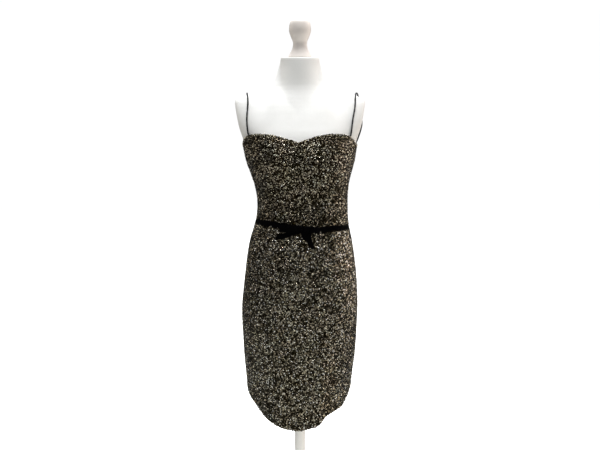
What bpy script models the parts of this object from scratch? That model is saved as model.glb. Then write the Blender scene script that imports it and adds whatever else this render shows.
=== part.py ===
"""A cocktail dress on a limbless dress form with a pole and a round base.

Metres, +Z up and -Y is the front. The origin is on the floor under the middle of the pole.
Angles go round the pole in degrees: 0 is the front centre, +90 the +X side and 180 the back centre.
In the pieces' names left is the -X side and right the +X side, as the front is looked at.
"""

import math
from collections import namedtuple

import bmesh
import bpy
from mathutils import Matrix, Vector
from mathutils.bvhtree import BVHTree

# Cloth
WALL = 0.0018  # beaded cloth and its backing
SEAM = 0.0003  # gap between two sewn pieces
FRONT_COLUMNS = 32
BACK_COLUMNS = 12
BODICE_ROWS = 12
SKIRT_ROWS = 15
SIDE_STRETCH = 1.2  # how much closer together a panel's columns stand at the sides
NECKLINE_TURN = 3.0  # the sweetheart point sits this many degrees to the -X side

# Dress form
FORM_CLEAR = 0.0015  # from the form to the inside of the dress
FORM_COLUMNS = 48
NECK_TOP = 1.526  # at the middle of the neck's flat top
NECK_LEAN = 10.0  # degrees that the neck's top faces forward
NECK_START = 1.450  # the lean grows from here to the top
ARM_LOW, ARM_LOW_X = 1.290, 0.1570  # lower end of the flat armhole face
ARM_HIGH, ARM_HIGH_X = 1.404, 0.1811  # and its upper end, at the shoulder
ARM_START = 1.280  # below this the form is as round as the figure

# Stand
POLE_RADIUS = 0.0160
POLE_FOOT, POLE_TOP = 0.0556, 0.7474

# Straps
STRAP_RADIUS = 0.00225
STRAP_CLEAR = 0.0006
STRAP_POINTS = 40
STRAP_MIDDLE_Y, STRAP_MIDDLE_Z = 0.010, 1.330  # the -X strap is laid round this line

# Ribbon belt and bow
BELT_WIDTH, BELT_THICK = 0.0145, 0.0012
BOW_ANGLE = 7.0
RIBBON_THICK = 0.0010
# Heights of the bow's layers above the cloth: tails, tails on the belt, knot, loops
ON_CLOTH = 0.0007
OVER_BELT = SEAM + BELT_THICK + 0.0006
OVER_TAIL = OVER_BELT + RIBBON_THICK + 0.0005
KNOT_WIDTH, KNOT_HEIGHT, KNOT_DEPTH = 0.0104, 0.0170, 0.0085

# Zip at the back centre
SLIDER_WIDTH, SLIDER_HEIGHT, SLIDER_DEPTH = 0.0050, 0.0085, 0.0022
SLIDER_DROP = 0.012  # from the back neckline to the middle of the slider
SLIDER_CLEAR = 0.0004
BAIL_SPAN, BAIL_RISE, BAIL_BAR = 0.0048, 0.0030, 0.0009
BAIL_THICK, BAIL_SUNK = 0.0012, 0.0004
TAB_BAR, TAB_THICK = 0.0010, 0.0008
TAB_HEAD, TAB_FOOT, TAB_LENGTH = 0.0042, 0.0064, 0.0240
WINDOW_WIDTH, WINDOW_LENGTH = 0.0022, 0.0060

Section = namedtuple("Section", "height middle half_width front back squareness")
# The outside of the dress from hem to bust, and above the bust the form with the same allowance
FIGURE = (
    Section(0.480, -0.0030, 0.1490, 0.1150, 0.1050, 2.10),
    Section(0.580, -0.0030, 0.1530, 0.1165, 0.1080, 2.10),
    Section(0.630, -0.0025, 0.1568, 0.1180, 0.1120, 2.10),
    Section(0.680, -0.0015, 0.1618, 0.1195, 0.1170, 2.10),
    Section(0.730, -0.0010, 0.1642, 0.1200, 0.1220, 2.10),
    Section(0.780, -0.0012, 0.1664, 0.1200, 0.1270, 2.10),
    Section(0.830, -0.0005, 0.1668, 0.1190, 0.1300, 2.10),
    Section(0.880, 0.0010, 0.1632, 0.1170, 0.1300, 2.10),
    Section(0.925, 0.0022, 0.1588, 0.1150, 0.1260, 2.10),
    Section(0.972, 0.0022, 0.1528, 0.1110, 0.1160, 2.10),
    Section(1.020, 0.0028, 0.1444, 0.1060, 0.1020, 2.10),
    Section(1.066, 0.0048, 0.1328, 0.1000, 0.0880, 2.10),
    Section(1.100, 0.0068, 0.1274, 0.0960, 0.0800, 2.10),
    Section(1.135, 0.0070, 0.1263, 0.0940, 0.0780, 2.10),
    Section(1.180, 0.0044, 0.1310, 0.0990, 0.0850, 2.10),
    Section(1.214, 0.0025, 0.1404, 0.1030, 0.0900, 2.10),
    Section(1.250, 0.0010, 0.1512, 0.1050, 0.0950, 2.10),
    Section(1.280, 0.0000, 0.1562, 0.1020, 0.0985, 2.10),
    Section(1.310, 0.0000, 0.1635, 0.0970, 0.1010, 2.15),
    Section(1.340, 0.0000, 0.1780, 0.0890, 0.1000, 2.20),
    Section(1.368, 0.0000, 0.1860, 0.0800, 0.0960, 2.30),
    Section(1.390, 0.0000, 0.1890, 0.0715, 0.0890, 2.35),
    Section(1.404, 0.0000, 0.1878, 0.0665, 0.0840, 2.40),
    Section(1.414, 0.0000, 0.1815, 0.0635, 0.0805, 2.40),
    Section(1.424, 0.0000, 0.1610, 0.0610, 0.0775, 2.40),
    Section(1.434, 0.0000, 0.1350, 0.0592, 0.0740, 2.35),
    Section(1.447, 0.0000, 0.1085, 0.0577, 0.0690, 2.30),
    Section(1.463, 0.0000, 0.0865, 0.0566, 0.0635, 2.20),
    Section(1.480, 0.0000, 0.0705, 0.0557, 0.0592, 2.10),
    Section(1.500, 0.0000, 0.0605, 0.0550, 0.0563, 2.00),
    Section(1.530, 0.0000, 0.0545, 0.0543, 0.0545, 2.00),
)
TORSO_ROWS = (
    0.800, 0.835, 0.875, 0.915, 0.955, 0.995, 1.035, 1.070, 1.100, 1.130, 1.160, 1.188, 1.212,
    1.232, 1.250, 1.268, 1.288, 1.308, 1.330, 1.352, 1.374, 1.392, 1.404, 1.412, 1.419, 1.427,
    1.436, 1.448, 1.463, 1.482, 1.503,
)

Round = namedtuple("Round", "height share")
# How the torso turns under: share is of its width at the lowest torso row
UNDERSIDE = (
    Round(0.7600, 0.860),
    Round(0.7612, 0.915),
    Round(0.7680, 0.965),
    Round(0.7810, 0.992),
)

Cup = namedtuple("Cup", "across height spread above below depth")
CUP = Cup(0.078, 1.246, 0.052, 0.060, 0.042, 0.017)

Level = namedtuple("Level", "angle height")
# Top edge of the bodice, the same on both sides of its centre
NECKLINE = (
    Level(0.0, 1.2940),
    Level(12.0, 1.3020),
    Level(26.0, 1.3115),
    Level(37.0, 1.3170),
    Level(48.0, 1.3190),
    Level(59.0, 1.3185),
    Level(67.0, 1.3145),
    Level(73.0, 1.3060),
    Level(80.0, 1.2945),
    Level(90.0, 1.2890),
    Level(130.0, 1.2815),
    Level(180.0, 1.2750),
)
# Waist seam under the belt, a little lower on the +X side
WAIST = (
    Level(-180.0, 1.0690),
    Level(-90.0, 1.0775),
    Level(-55.0, 1.0785),
    Level(-20.0, 1.0722),
    Level(20.0, 1.0643),
    Level(55.0, 1.0648),
    Level(90.0, 1.0610),
    Level(180.0, 1.0690),
)
# Hem, lowest at the front and back centres, with a nick on the +X side of the front
HEM = (
    Level(-180.0, 0.5050),
    Level(-150.0, 0.5120),
    Level(-125.0, 0.5400),
    Level(-105.0, 0.5720),
    Level(-90.0, 0.5830),
    Level(-80.0, 0.5760),
    Level(-66.0, 0.5589),
    Level(-48.0, 0.5261),
    Level(-33.0, 0.5103),
    Level(-18.0, 0.5010),
    Level(3.0, 0.4950),
    Level(18.0, 0.5020),
    Level(26.0, 0.5120),
    Level(37.0, 0.5335),
    Level(54.0, 0.5435),
    Level(63.0, 0.5455),
    Level(70.0, 0.5630),
    Level(77.0, 0.5810),
    Level(90.0, 0.5880),
    Level(105.0, 0.5760),
    Level(125.0, 0.5400),
    Level(150.0, 0.5120),
    Level(180.0, 0.5050),
)

Fold = namedtuple("Fold", "angle spread depth top full")
# Soft folds in the skirt: depth stands out from the figure, none above top and all of it below full
FOLDS = (
    Fold(27.0, 8.0, 0.0060, 0.880, 0.580),
    Fold(10.0, 9.0, -0.0050, 0.860, 0.580),
    Fold(-24.0, 12.0, 0.0025, 0.780, 0.560),
    Fold(-55.0, 10.0, -0.0030, 0.820, 0.600),
    Fold(62.0, 10.0, -0.0035, 0.800, 0.600),
    Fold(118.0, 12.0, 0.0035, 0.800, 0.600),
    Fold(150.0, 10.0, -0.0030, 0.760, 0.560),
    Fold(-122.0, 12.0, 0.0035, 0.800, 0.580),
    Fold(-152.0, 11.0, -0.0030, 0.780, 0.580),
)

Turn = namedtuple("Turn", "radius height")
BASE = (
    Turn(0.1885, 0.0000),
    Turn(0.1900, 0.0015),
    Turn(0.1900, 0.0060),
    Turn(0.1885, 0.0085),
    Turn(0.1850, 0.0100),
)
SOCKET = (
    Turn(0.0300, 0.0103),
    Turn(0.0300, 0.0143),
    Turn(0.0260, 0.0203),
    Turn(0.0240, 0.0553),
)
COLLAR = (
    Turn(0.0370, 0.7477),
    Turn(0.0400, 0.7507),
    Turn(0.0400, 0.7597),
)
# Its heights are from the neck's top
FINIAL = (
    Turn(0.0325, 0.0003),
    Turn(0.0328, 0.0040),
    Turn(0.0300, 0.0075),
    Turn(0.0250, 0.0140),
    Turn(0.0212, 0.0250),
    Turn(0.0202, 0.0350),
    Turn(0.0215, 0.0440),
    Turn(0.0265, 0.0570),
    Turn(0.0300, 0.0670),
    Turn(0.0307, 0.0750),
    Turn(0.0290, 0.0825),
    Turn(0.0230, 0.0880),
    Turn(0.0120, 0.0905),
)

Plane = namedtuple("Plane", "turn across")
Spot = namedtuple("Spot", "x y z")
# The -X strap lies on the form. It is laid from the front edge (turn 0) over the shoulder to the back
LEFT_STRAP = (Plane(-18.0, -0.1355), Plane(90.0, -0.1415), Plane(228.0, -0.1250))
# The +X strap is slack behind the shoulder and stands out past the form
RIGHT_STRAP = (
    Spot(0.1325, -0.0565, 1.3050),
    Spot(0.1375, -0.0540, 1.3500),
    Spot(0.1415, -0.0480, 1.3850),
    Spot(0.1450, -0.0360, 1.4100),
    Spot(0.1490, -0.0180, 1.4250),
    Spot(0.1570, 0.0030, 1.4290),
    Spot(0.1665, 0.0240, 1.4200),
    Spot(0.1720, 0.0420, 1.4020),
    Spot(0.1745, 0.0500, 1.3820),
    Spot(0.1770, 0.0490, 1.3620),
    Spot(0.1769, 0.0440, 1.3460),
    Spot(0.1725, 0.0390, 1.3280),
    Spot(0.1665, 0.0345, 1.3110),
    Spot(0.1620, 0.0315, 1.3005),
    Spot(0.1570, 0.0285, 1.2900),
    Spot(0.1530, 0.0270, 1.2780),
)

Way = namedtuple("Way", "along down lift width")
# The bow's tails, measured from the middle of the knot: the -X one leaves over the belt
LEFT_TAIL = (
    Way(-0.0060, 0.0050, OVER_BELT, 0.0080),
    Way(-0.0220, 0.0100, OVER_BELT, 0.0095),
    Way(-0.0440, 0.0180, OVER_BELT, 0.0110),
    Way(-0.0620, 0.0260, ON_CLOTH, 0.0120),
    Way(-0.0790, 0.0340, ON_CLOTH, 0.0125),
)
RIGHT_TAIL = (
    Way(-0.0010, 0.0092, ON_CLOTH, 0.0120),
    Way(0.0000, 0.0170, ON_CLOTH, 0.0165),
    Way(0.0060, 0.0320, ON_CLOTH, 0.0150),
    Way(0.0145, 0.0505, ON_CLOTH, 0.0145),
)
Loop = namedtuple("Loop", "name side reach droop width")
LOOPS = (
    Loop("bow_loop_left", -1, 0.072, 0.0055, 0.0175),
    Loop("bow_loop_right", 1, 0.037, 0.0020, 0.0150),
)
LOOP_OPEN = 0.0042  # between the middles of the loop's two layers


# --- Tables and the figure ---------------------------------------------------------------------


def read(table, at):
    """The other columns of a table at a value of its first column, on a smooth curve through the rows."""
    if at <= table[0][0]:
        return list(table[0][1:])
    if at >= table[-1][0]:
        return list(table[-1][1:])
    index = max(row for row in range(len(table) - 1) if table[row][0] <= at)
    before, low = table[max(index - 1, 0)], table[index]
    high, after = table[index + 1], table[min(index + 2, len(table) - 1)]
    span = high[0] - low[0]
    t = (at - low[0]) / span
    values = []
    for column in range(1, len(low)):
        leave = span * (high[column] - before[column]) / (high[0] - before[0])
        arrive = span * (after[column] - low[column]) / (after[0] - low[0])
        start, end = low[column], high[column]
        values.append(
            (2 * t**3 - 3 * t**2 + 1) * start
            + (t**3 - 2 * t**2 + t) * leave
            + (3 * t**2 - 2 * t**3) * end
            + (t**3 - t**2) * arrive
        )
    return values


def ease(t):
    t = min(max(t, 0.0), 1.0)
    return t * t * (3 - 2 * t)


def turned(angle):
    """The same angle between -180 and 180 degrees."""
    return (angle + 180.0) % 360.0 - 180.0


def neckline(angle):
    return read(NECKLINE, abs(turned(angle + NECKLINE_TURN)))[0]


def waist(angle):
    return read(WAIST, turned(angle))[0]


def hem(angle):
    return read(HEM, turned(angle))[0]


def fold(angle, height):
    """How far the skirt's folds stand out from the figure."""
    total = 0.0
    for row in FOLDS:
        away = turned(angle - row.angle) / row.spread
        total += row.depth * math.exp(-away * away) * ease((row.top - height) / (row.top - row.full))
    return total


def cup(across, height):
    reach = CUP.above if height > CUP.height else CUP.below
    side = (abs(across) - CUP.across) / CUP.spread
    rise = (height - CUP.height) / reach
    return CUP.depth * math.exp(-side * side - rise * rise)


def figure(angle, height, folded=0.0):
    """A point on the outside of the figure at an angle and a height."""
    middle, half_width, front, back, squareness = read(FIGURE, height)
    across, ahead = math.sin(math.radians(angle)), math.cos(math.radians(angle))
    depth = front if ahead > 0 else back
    spread = (abs(across) / half_width) ** squareness + (abs(ahead) / depth) ** squareness
    reach = spread ** (-1 / squareness) + folded * fold(angle, height)
    point = Vector((reach * across, -reach * ahead, height))
    if ahead > 0:
        point.y -= cup(point.x, height) * math.sqrt(ahead)
    point.x += middle
    return point


def outward(angle, height, folded=0.0):
    """The direction that faces out of the figure."""
    small_turn, small_rise = 0.5, 0.001
    round_it = figure(angle + small_turn, height, folded) - figure(angle - small_turn, height, folded)
    up_it = figure(angle, height + small_rise, folded) - figure(angle, height - small_rise, folded)
    return round_it.cross(up_it).normalized()


# --- Solids ------------------------------------------------------------------------------------


def material(name, colour, roughness, metallic=0.0):
    made = bpy.data.materials.new(name)
    made.use_nodes = True
    shader = made.node_tree.nodes["Principled BSDF"]
    shader.inputs["Base Color"].default_value = (*colour, 1.0)
    shader.inputs["Roughness"].default_value = roughness
    shader.inputs["Metallic"].default_value = metallic
    return made


def add_object(name, data, finish):
    obj = bpy.data.objects.new(name, data)
    obj.data.materials.append(finish)
    bpy.context.scene.collection.objects.link(obj)
    return obj


def solid(name, points, faces, finish, crease=50.0):
    """One closed body from points and faces, its faces turned outward and its round sides shaded smooth."""
    shape = bmesh.new()
    corners = [shape.verts.new(point) for point in points]
    for face in faces:
        shape.faces.new([corners[index] for index in face])
    bmesh.ops.recalc_face_normals(shape, faces=shape.faces)
    mesh = bpy.data.meshes.new(name)
    shape.to_mesh(mesh)
    shape.free()
    mesh.shade_smooth()
    mesh.set_sharp_from_angle(angle=math.radians(crease))
    return add_object(name, mesh, finish)


def wall(outside, inside, columns, rows):
    """Points and faces of a sheet with two sides: each side is rows+1 lines of columns+1 points."""
    width = columns + 1
    count = len(outside)
    faces = []
    for row in range(rows):
        for column in range(columns):
            first = row * width + column
            quad = (first, first + 1, first + width + 1, first + width)
            faces.append(quad)
            faces.append(tuple(count + index for index in reversed(quad)))
    rim = list(range(columns))
    rim += [row * width + columns for row in range(rows)]
    rim += [rows * width + column for column in range(columns, 0, -1)]
    rim += [row * width for row in range(rows, 0, -1)]
    for index, start in enumerate(rim):
        end = rim[(index + 1) % len(rim)]
        faces.append((start, end, count + end, count + start))
    return outside + inside, faces


def bands(rings, closed=False):
    """Points of some rings, and faces between each ring and the next, also last to first where closed."""
    sides, count = len(rings[0]), len(rings)
    points = [point for ring in rings for point in ring]
    faces = []
    for row in range(count if closed else count - 1):
        low, high = row * sides, (row + 1) % count * sides
        for side in range(sides):
            following = (side + 1) % sides
            faces.append((low + side, low + following, high + following, high + side))
    return points, faces


def stacked(rings):
    """Points and faces of a solid lofted through rings that have the same number of points."""
    points, faces = bands(rings)
    sides = len(rings[0])
    faces.append(tuple(range(sides)))
    faces.append(tuple(range(len(points) - sides, len(points))))
    return points, faces


def turned_solid(name, profile, finish, sides):
    """A solid of revolution round the pole, from (radius, height) rows listed upward."""
    angles = [math.tau * side / sides for side in range(sides)]
    rings = []
    for radius, height in profile:
        rings.append([Vector((radius * math.cos(a), radius * math.sin(a), height)) for a in angles])
    points, faces = stacked(rings)
    return solid(name, points, faces, finish, crease=35.0)


def tree_of(*objects):
    """A search tree over the faces of several mesh objects."""
    points, faces = [], []
    for obj in objects:
        start = len(points)
        points += [vertex.co.copy() for vertex in obj.data.vertices]
        faces += [tuple(start + index for index in face.vertices) for face in obj.data.polygons]
    return BVHTree.FromPolygons(points, faces)


# --- Dress -------------------------------------------------------------------------------------


def panel_angles(first, last, columns):
    """Column angles of a panel, closer together at the sides, and half a seam short of each end."""
    half_seam = math.degrees(SEAM / 2 / read(FIGURE, 1.0)[1])
    first, last = first + half_seam, last - half_seam
    angles = []
    for column in range(columns + 1):
        angle = first + (last - first) * column / columns
        turn = math.radians(angle)
        stretched = math.degrees(math.atan2(SIDE_STRETCH * math.sin(turn), math.cos(turn)))
        angles.append(stretched)
    return angles


def panel(name, angles, bottom, top, rows, finish):
    """A cut panel of cloth between two heights that change with the angle, WALL thick."""
    outside, inside = [], []
    for row in range(rows + 1):
        for angle in angles:
            low, high = bottom(angle), top(angle)
            height = low + (high - low) * row / rows
            point = figure(angle, height, folded=1.0)
            outside.append(point)
            inside.append(point - outward(angle, height, folded=1.0) * WALL)
    points, faces = wall(outside, inside, len(angles) - 1, rows)
    return solid(name, points, faces, finish), outside


def make_dress(finish):
    """The six panels, each with its column angles and its outside points, for what is laid on them."""
    cuts = (
        ("front", panel_angles(-90.0, 90.0, FRONT_COLUMNS)),
        ("back_right", panel_angles(90.0, 180.0, BACK_COLUMNS)),
        ("back_left", panel_angles(-180.0, -90.0, BACK_COLUMNS)),
    )

    def over_waist(angle):
        return waist(angle) + SEAM / 2

    def under_waist(angle):
        return waist(angle) - SEAM / 2

    made = {}
    for place, angles in cuts:
        bodice, skirt = "bodice_" + place, "skirt_" + place
        made[bodice] = (angles, *panel(bodice, angles, over_waist, neckline, BODICE_ROWS, finish))
        made[skirt] = (angles, *panel(skirt, angles, hem, under_waist, SKIRT_ROWS, finish))
    return made


def belt_columns(panels):
    """For each column round the waist: its angle, and points on the cloth below, at and above the seam."""
    columns = []
    for place in ("front", "back_right", "back_left"):
        angles, _, bodice = panels["bodice_" + place]
        _, _, skirt = panels["skirt_" + place]
        width = len(angles)
        skip_first = 0 if place == "front" else 1
        top_row = SKIRT_ROWS * width
        for column in range(skip_first, width):
            seam_above, next_above = bodice[column], bodice[width + column]
            seam_below, next_below = skirt[top_row + column], skirt[top_row - width + column]
            down = seam_below.lerp(next_below, BELT_WIDTH / 2 / (seam_below.z - next_below.z))
            up = seam_above.lerp(next_above, BELT_WIDTH / 2 / (next_above.z - seam_above.z))
            columns.append((angles[column], (down, seam_above.lerp(seam_below, 0.5), up)))
    columns.pop()  # the last column meets the first one at the side seam
    return columns


def make_belt(panels, finish):
    """A flat ribbon round the waist seam, made from the points of the panels under it."""
    layers = ((2, SEAM), (1, SEAM), (0, SEAM))
    layers += tuple((index, SEAM + BELT_THICK) for index in range(3))
    rings = [[] for _ in layers]
    for angle, across in belt_columns(panels):
        away = outward(angle, waist(angle))
        away.z = 0.0
        away.normalize()
        for ring, (index, lift) in zip(rings, layers):
            ring.append(across[index] + away * lift)
    points, faces = bands(rings, closed=True)
    return solid("belt", points, faces, finish)


# --- Bow ---------------------------------------------------------------------------------------


def angle_along(along):
    """The angle that lies a length along the waist from the knot, towards +X where it is positive."""
    steps = 24
    angle = BOW_ANGLE
    for _ in range(steps):
        here = figure(angle, waist(angle))
        there = figure(angle + 1.0, waist(angle + 1.0))
        angle += along / steps / (there - here).length
    return angle


def on_cloth(cloth, along, down, out):
    """A point out from the cloth, at a length along the waist from the knot and down from the seam."""
    angle = angle_along(along)
    height = waist(angle) - down - SEAM  # never in the gap of the waist seam
    away = outward(angle, height)
    ahead = Vector((math.sin(math.radians(angle)), -math.cos(math.radians(angle)), 0.0))
    hit = cloth.ray_cast(Vector((0, 0, height)) + ahead, -ahead)[0]
    return hit + away * out, away


def strip(name, middle, across, away, widths, finish):
    """A ribbon through middle points, as wide as widths along across and RIBBON_THICK along away."""
    rings = []
    for point, side, up, width in zip(middle, across, away, widths):
        reach, rise = side * (width / 2), up * (RIBBON_THICK / 2)
        low, high = point - rise, point + rise
        rings.append([low - reach, low + reach, high + reach, high - reach])
    points, faces = stacked(rings)
    return solid(name, points, faces, finish)


def make_tail(name, ways, cloth, finish, pieces=9):
    """A ribbon end that lies on the skirt below the knot."""
    table = [(index, *row) for index, row in enumerate(ways)]
    middle, away, widths = [], [], []
    for piece in range(pieces + 1):
        along, down, lift, width = read(table, piece * (len(ways) - 1) / pieces)
        point, up = on_cloth(cloth, along, down, lift + RIBBON_THICK / 2)
        middle.append(point)
        away.append(up)
        widths.append(width)
    across = []
    for index, up in enumerate(away):
        onward = middle[min(index + 1, pieces)] - middle[max(index - 1, 0)]
        across.append(onward.cross(up).normalized())
    return strip(name, middle, across, away, widths, finish)


def make_loop(row, cloth, finish, pieces=8, bend=5):
    """A loop of ribbon that leaves the knot along the belt, turns round and comes back over itself."""
    start, half = KNOT_WIDTH / 2 + SEAM, LOOP_OPEN / 2
    lower = OVER_TAIL + RIBBON_THICK / 2
    bend_start = row.reach - half
    route = [(start + (bend_start - start) * step / pieces, lower) for step in range(pieces + 1)]
    for step in range(1, bend):
        turn = math.pi * step / bend
        route.append((bend_start + half * math.sin(turn), lower + half - half * math.cos(turn)))
    route += [(along, lower + LOOP_OPEN) for along, _ in reversed(route[: pieces + 1])]
    spots = [on_cloth(cloth, row.side * along, row.droop * along / row.reach, out) for along, out in route]
    middle = [point for point, _ in spots]
    upright = Vector((0, 0, 1.0))
    away, across = [], []
    for index, (_, up) in enumerate(spots):
        onward = middle[min(index + 1, len(route) - 1)] - middle[max(index - 1, 0)]
        across.append((upright - up * upright.dot(up)).normalized())
        away.append(across[-1].cross(onward).normalized())
    return strip(row.name, middle, across, away, [row.width] * len(route), finish)


def make_knot(cloth, finish):
    """The wrapped knot over the middle of the bow."""
    point, away = on_cloth(cloth, 0.0, 0.0, OVER_BELT + KNOT_DEPTH / 2)
    shape = bmesh.new()
    bmesh.ops.create_cube(shape, size=1.0)
    bmesh.ops.scale(shape, verts=shape.verts, vec=(KNOT_WIDTH, KNOT_DEPTH, KNOT_HEIGHT))
    bmesh.ops.bevel(shape, geom=shape.edges[:], offset=0.0022, segments=2, profile=0.6, affect="EDGES")
    across = Vector((0, 0, 1.0)).cross(away).normalized()
    turn = Matrix((across, -away, away.cross(across).normalized())).transposed()
    bmesh.ops.transform(shape, verts=shape.verts, matrix=Matrix.Translation(point) @ turn.to_4x4())
    bmesh.ops.recalc_face_normals(shape, faces=shape.faces)
    mesh = bpy.data.meshes.new("bow_knot")
    shape.to_mesh(mesh)
    shape.free()
    mesh.shade_smooth()
    return add_object("bow_knot", mesh, finish)


# --- Straps ------------------------------------------------------------------------------------


def strap(name, route, finish):
    """A round covered cord of cloth along a route."""
    curve = bpy.data.curves.new(name, "CURVE")
    curve.dimensions = "3D"
    curve.bevel_depth = STRAP_RADIUS
    curve.bevel_resolution = 2
    curve.use_fill_caps = True
    spline = curve.splines.new("POLY")
    spline.points.add(len(route) - 1)
    for point, place in zip(spline.points, route):
        point.co = (*place, 1.0)
    return add_object(name, curve, finish)


def clear_of(tree, point, distance):
    """The point, moved out until it is at least this distance from the surface."""
    nearest, away, _, apart = tree.find_nearest(point)
    inside = (point - nearest).dot(away) < 0
    if inside or apart < distance:
        return nearest + away * distance
    return point


def even(route, count):
    """The same route with points spaced evenly."""
    lengths = [0.0]
    for start, end in zip(route, route[1:]):
        lengths.append(lengths[-1] + (end - start).length)
    table = [(length, *point) for length, point in zip(lengths, route)]
    return [Vector(read(table, lengths[-1] * step / (count - 1))) for step in range(count)]


def settled(route, form):
    """The route with even points, clear of the form at each point and between them."""
    for _ in range(6):
        route = [clear_of(form, point, STRAP_RADIUS + STRAP_CLEAR) for point in even(route, STRAP_POINTS)]
        for index in range(len(route) - 1):
            _, away, _, apart = form.find_nearest(route[index].lerp(route[index + 1], 0.5))
            lack = max(STRAP_RADIUS + STRAP_CLEAR - apart, 0.0)
            route[index] += away * lack
            route[index + 1] += away * lack
    return route


def above_edge(point):
    """How far the end of a strap at this point would stand above the bodice's sloping top edge."""
    angle = math.degrees(math.atan2(point.x, -point.y))
    low, high = figure(angle - 1.0, point.z), figure(angle + 1.0, point.z)
    slope = (neckline(angle + 1.0) - neckline(angle - 1.0)) / (high - low).length
    return point.z - neckline(angle) - STRAP_RADIUS * abs(slope)


def trimmed(route):
    """The part of the route that stands above the bodice, with a seam's gap to its edge."""
    kept = [point for point in even(route, 20 * STRAP_POINTS) if above_edge(point) > SEAM]
    return even(kept, STRAP_POINTS)


def make_left_strap(form, finish):
    """The strap that lies flat on the form."""
    first, last = LEFT_STRAP[0].turn, LEFT_STRAP[-1].turn
    route = []
    for step in range(STRAP_POINTS):
        turn = first + (last - first) * step / (STRAP_POINTS - 1)
        centre = Vector((read(LEFT_STRAP, turn)[0], STRAP_MIDDLE_Y, STRAP_MIDDLE_Z))
        ahead = Vector((0.0, -math.cos(math.radians(turn)), math.sin(math.radians(turn))))
        hit, away, _, _ = form.ray_cast(centre + ahead, -ahead)
        route.append(hit + away * (STRAP_RADIUS + STRAP_CLEAR))
    return strap("strap_left", trimmed(settled(route, form)), finish)


def make_right_strap(form, finish):
    """The strap that has slipped outward over the shoulder."""
    table = [(index, *spot) for index, spot in enumerate(RIGHT_STRAP)]
    last = len(RIGHT_STRAP) - 1
    route = [Vector(read(table, last * step / (STRAP_POINTS - 1))) for step in range(STRAP_POINTS)]
    return strap("strap_right", trimmed(settled(route, form)), finish)


# --- Form and stand ----------------------------------------------------------------------------


def form_point(turn, height):
    """A point on the dress form: the figure less the dress, cut flat at the armholes, its neck leaning."""
    _, half_width, front, back, _ = read(FIGURE, height)
    ahead = math.cos(math.radians(turn))
    depth = front if ahead > 0 else back
    angle = math.degrees(math.atan2(half_width * math.sin(math.radians(turn)), depth * ahead))
    point = figure(angle, height) - outward(angle, height) * (WALL + FORM_CLEAR)
    if height > ARM_START:
        slope = (ARM_HIGH_X - ARM_LOW_X) / (ARM_HIGH - ARM_LOW)
        limit = ARM_LOW_X + slope * (point.z - ARM_LOW)
        point.x = min(max(point.x, -limit), limit)
    lean = ease((height - NECK_START) / (NECK_TOP - NECK_START))
    point.z += point.y * lean * math.tan(math.radians(NECK_LEAN))
    return point


def make_form(finish):
    angles = [360.0 * side / FORM_COLUMNS for side in range(FORM_COLUMNS)]
    lowest = [form_point(angle, TORSO_ROWS[0]) for angle in angles]
    rings = []
    for height, share in UNDERSIDE:
        rings.append([Vector((point.x * share, point.y * share, height)) for point in lowest])
    for height in TORSO_ROWS:
        rings.append([form_point(angle, height) for angle in angles])
    slope = math.tan(math.radians(NECK_LEAN))
    top = [form_point(angle, NECK_TOP) for angle in angles]
    rings.append([Vector((point.x, point.y, NECK_TOP + slope * point.y)) for point in top])
    points, faces = stacked(rings)
    return solid("form_torso", points, faces, finish, crease=40.0)


def make_stand(white, steel):
    pole = ((POLE_RADIUS, POLE_FOOT), (POLE_RADIUS, POLE_TOP))
    turned_solid("base", BASE, steel, sides=48)
    turned_solid("base_socket", SOCKET, steel, sides=32)
    turned_solid("pole", pole, steel, sides=24)
    turned_solid("form_collar", COLLAR, steel, sides=32)
    finial = turned_solid("finial", FINIAL, white, sides=28)
    lean = Matrix.Rotation(math.radians(NECK_LEAN), 4, "X")
    finial.matrix_world = Matrix.Translation((0, 0, NECK_TOP)) @ lean


# --- Zip ---------------------------------------------------------------------------------------


def prism(name, outline, low, high, finish):
    """A solid with this (y, z) outline, from x = low to x = high."""
    rings = [[Vector((x, y, z)) for y, z in outline] for x in (low, high)]
    points, faces = stacked(rings)
    return solid(name, points, faces, finish, crease=30.0)


def make_slider(place, finish):
    """The slider's body, joined with the bail that its pull tab hangs in."""
    half_height, half_width, corner = SLIDER_HEIGHT / 2, SLIDER_WIDTH / 2, 0.0010
    side = (
        (0.0, corner - half_height),
        (0.0, half_height),
        (SLIDER_DEPTH, half_height),
        (SLIDER_DEPTH, corner - half_height),
        (SLIDER_DEPTH - corner, -half_height),
        (corner, -half_height),
    )
    body = prism("zip_slider", side, -half_width, half_width, finish)
    root, top, half_span = SLIDER_DEPTH - BAIL_SUNK, SLIDER_DEPTH + BAIL_RISE, BAIL_SPAN / 2
    inner, under = half_span - BAIL_BAR, top - BAIL_BAR
    arch = (
        (root, -half_span),
        (top, -half_span),
        (top, half_span),
        (root, half_span),
        (root, inner),
        (under, inner),
        (under, -inner),
        (root, -inner),
    )
    bail = prism("bail", arch, -BAIL_THICK / 2, BAIL_THICK / 2, finish)
    for obj in (body, bail):
        obj.matrix_world = place
    bail.hide_render = True
    bail.display_type = "WIRE"
    joined = body.modifiers.new("bail", "BOOLEAN")
    joined.operation = "UNION"
    joined.object = bail


def chamfered(half_top, half_foot, top, foot, cut_top, cut_foot):
    """An (x, z) outline that narrows from foot to top, with its corners cut off."""
    return (
        (cut_top - half_top, top),
        (half_top - cut_top, top),
        (half_top, top - cut_top),
        (half_foot, foot + cut_foot),
        (half_foot - cut_foot, foot),
        (cut_foot - half_foot, foot),
        (-half_foot, foot + cut_foot),
        (-half_top, top - cut_top),
    )


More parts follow.
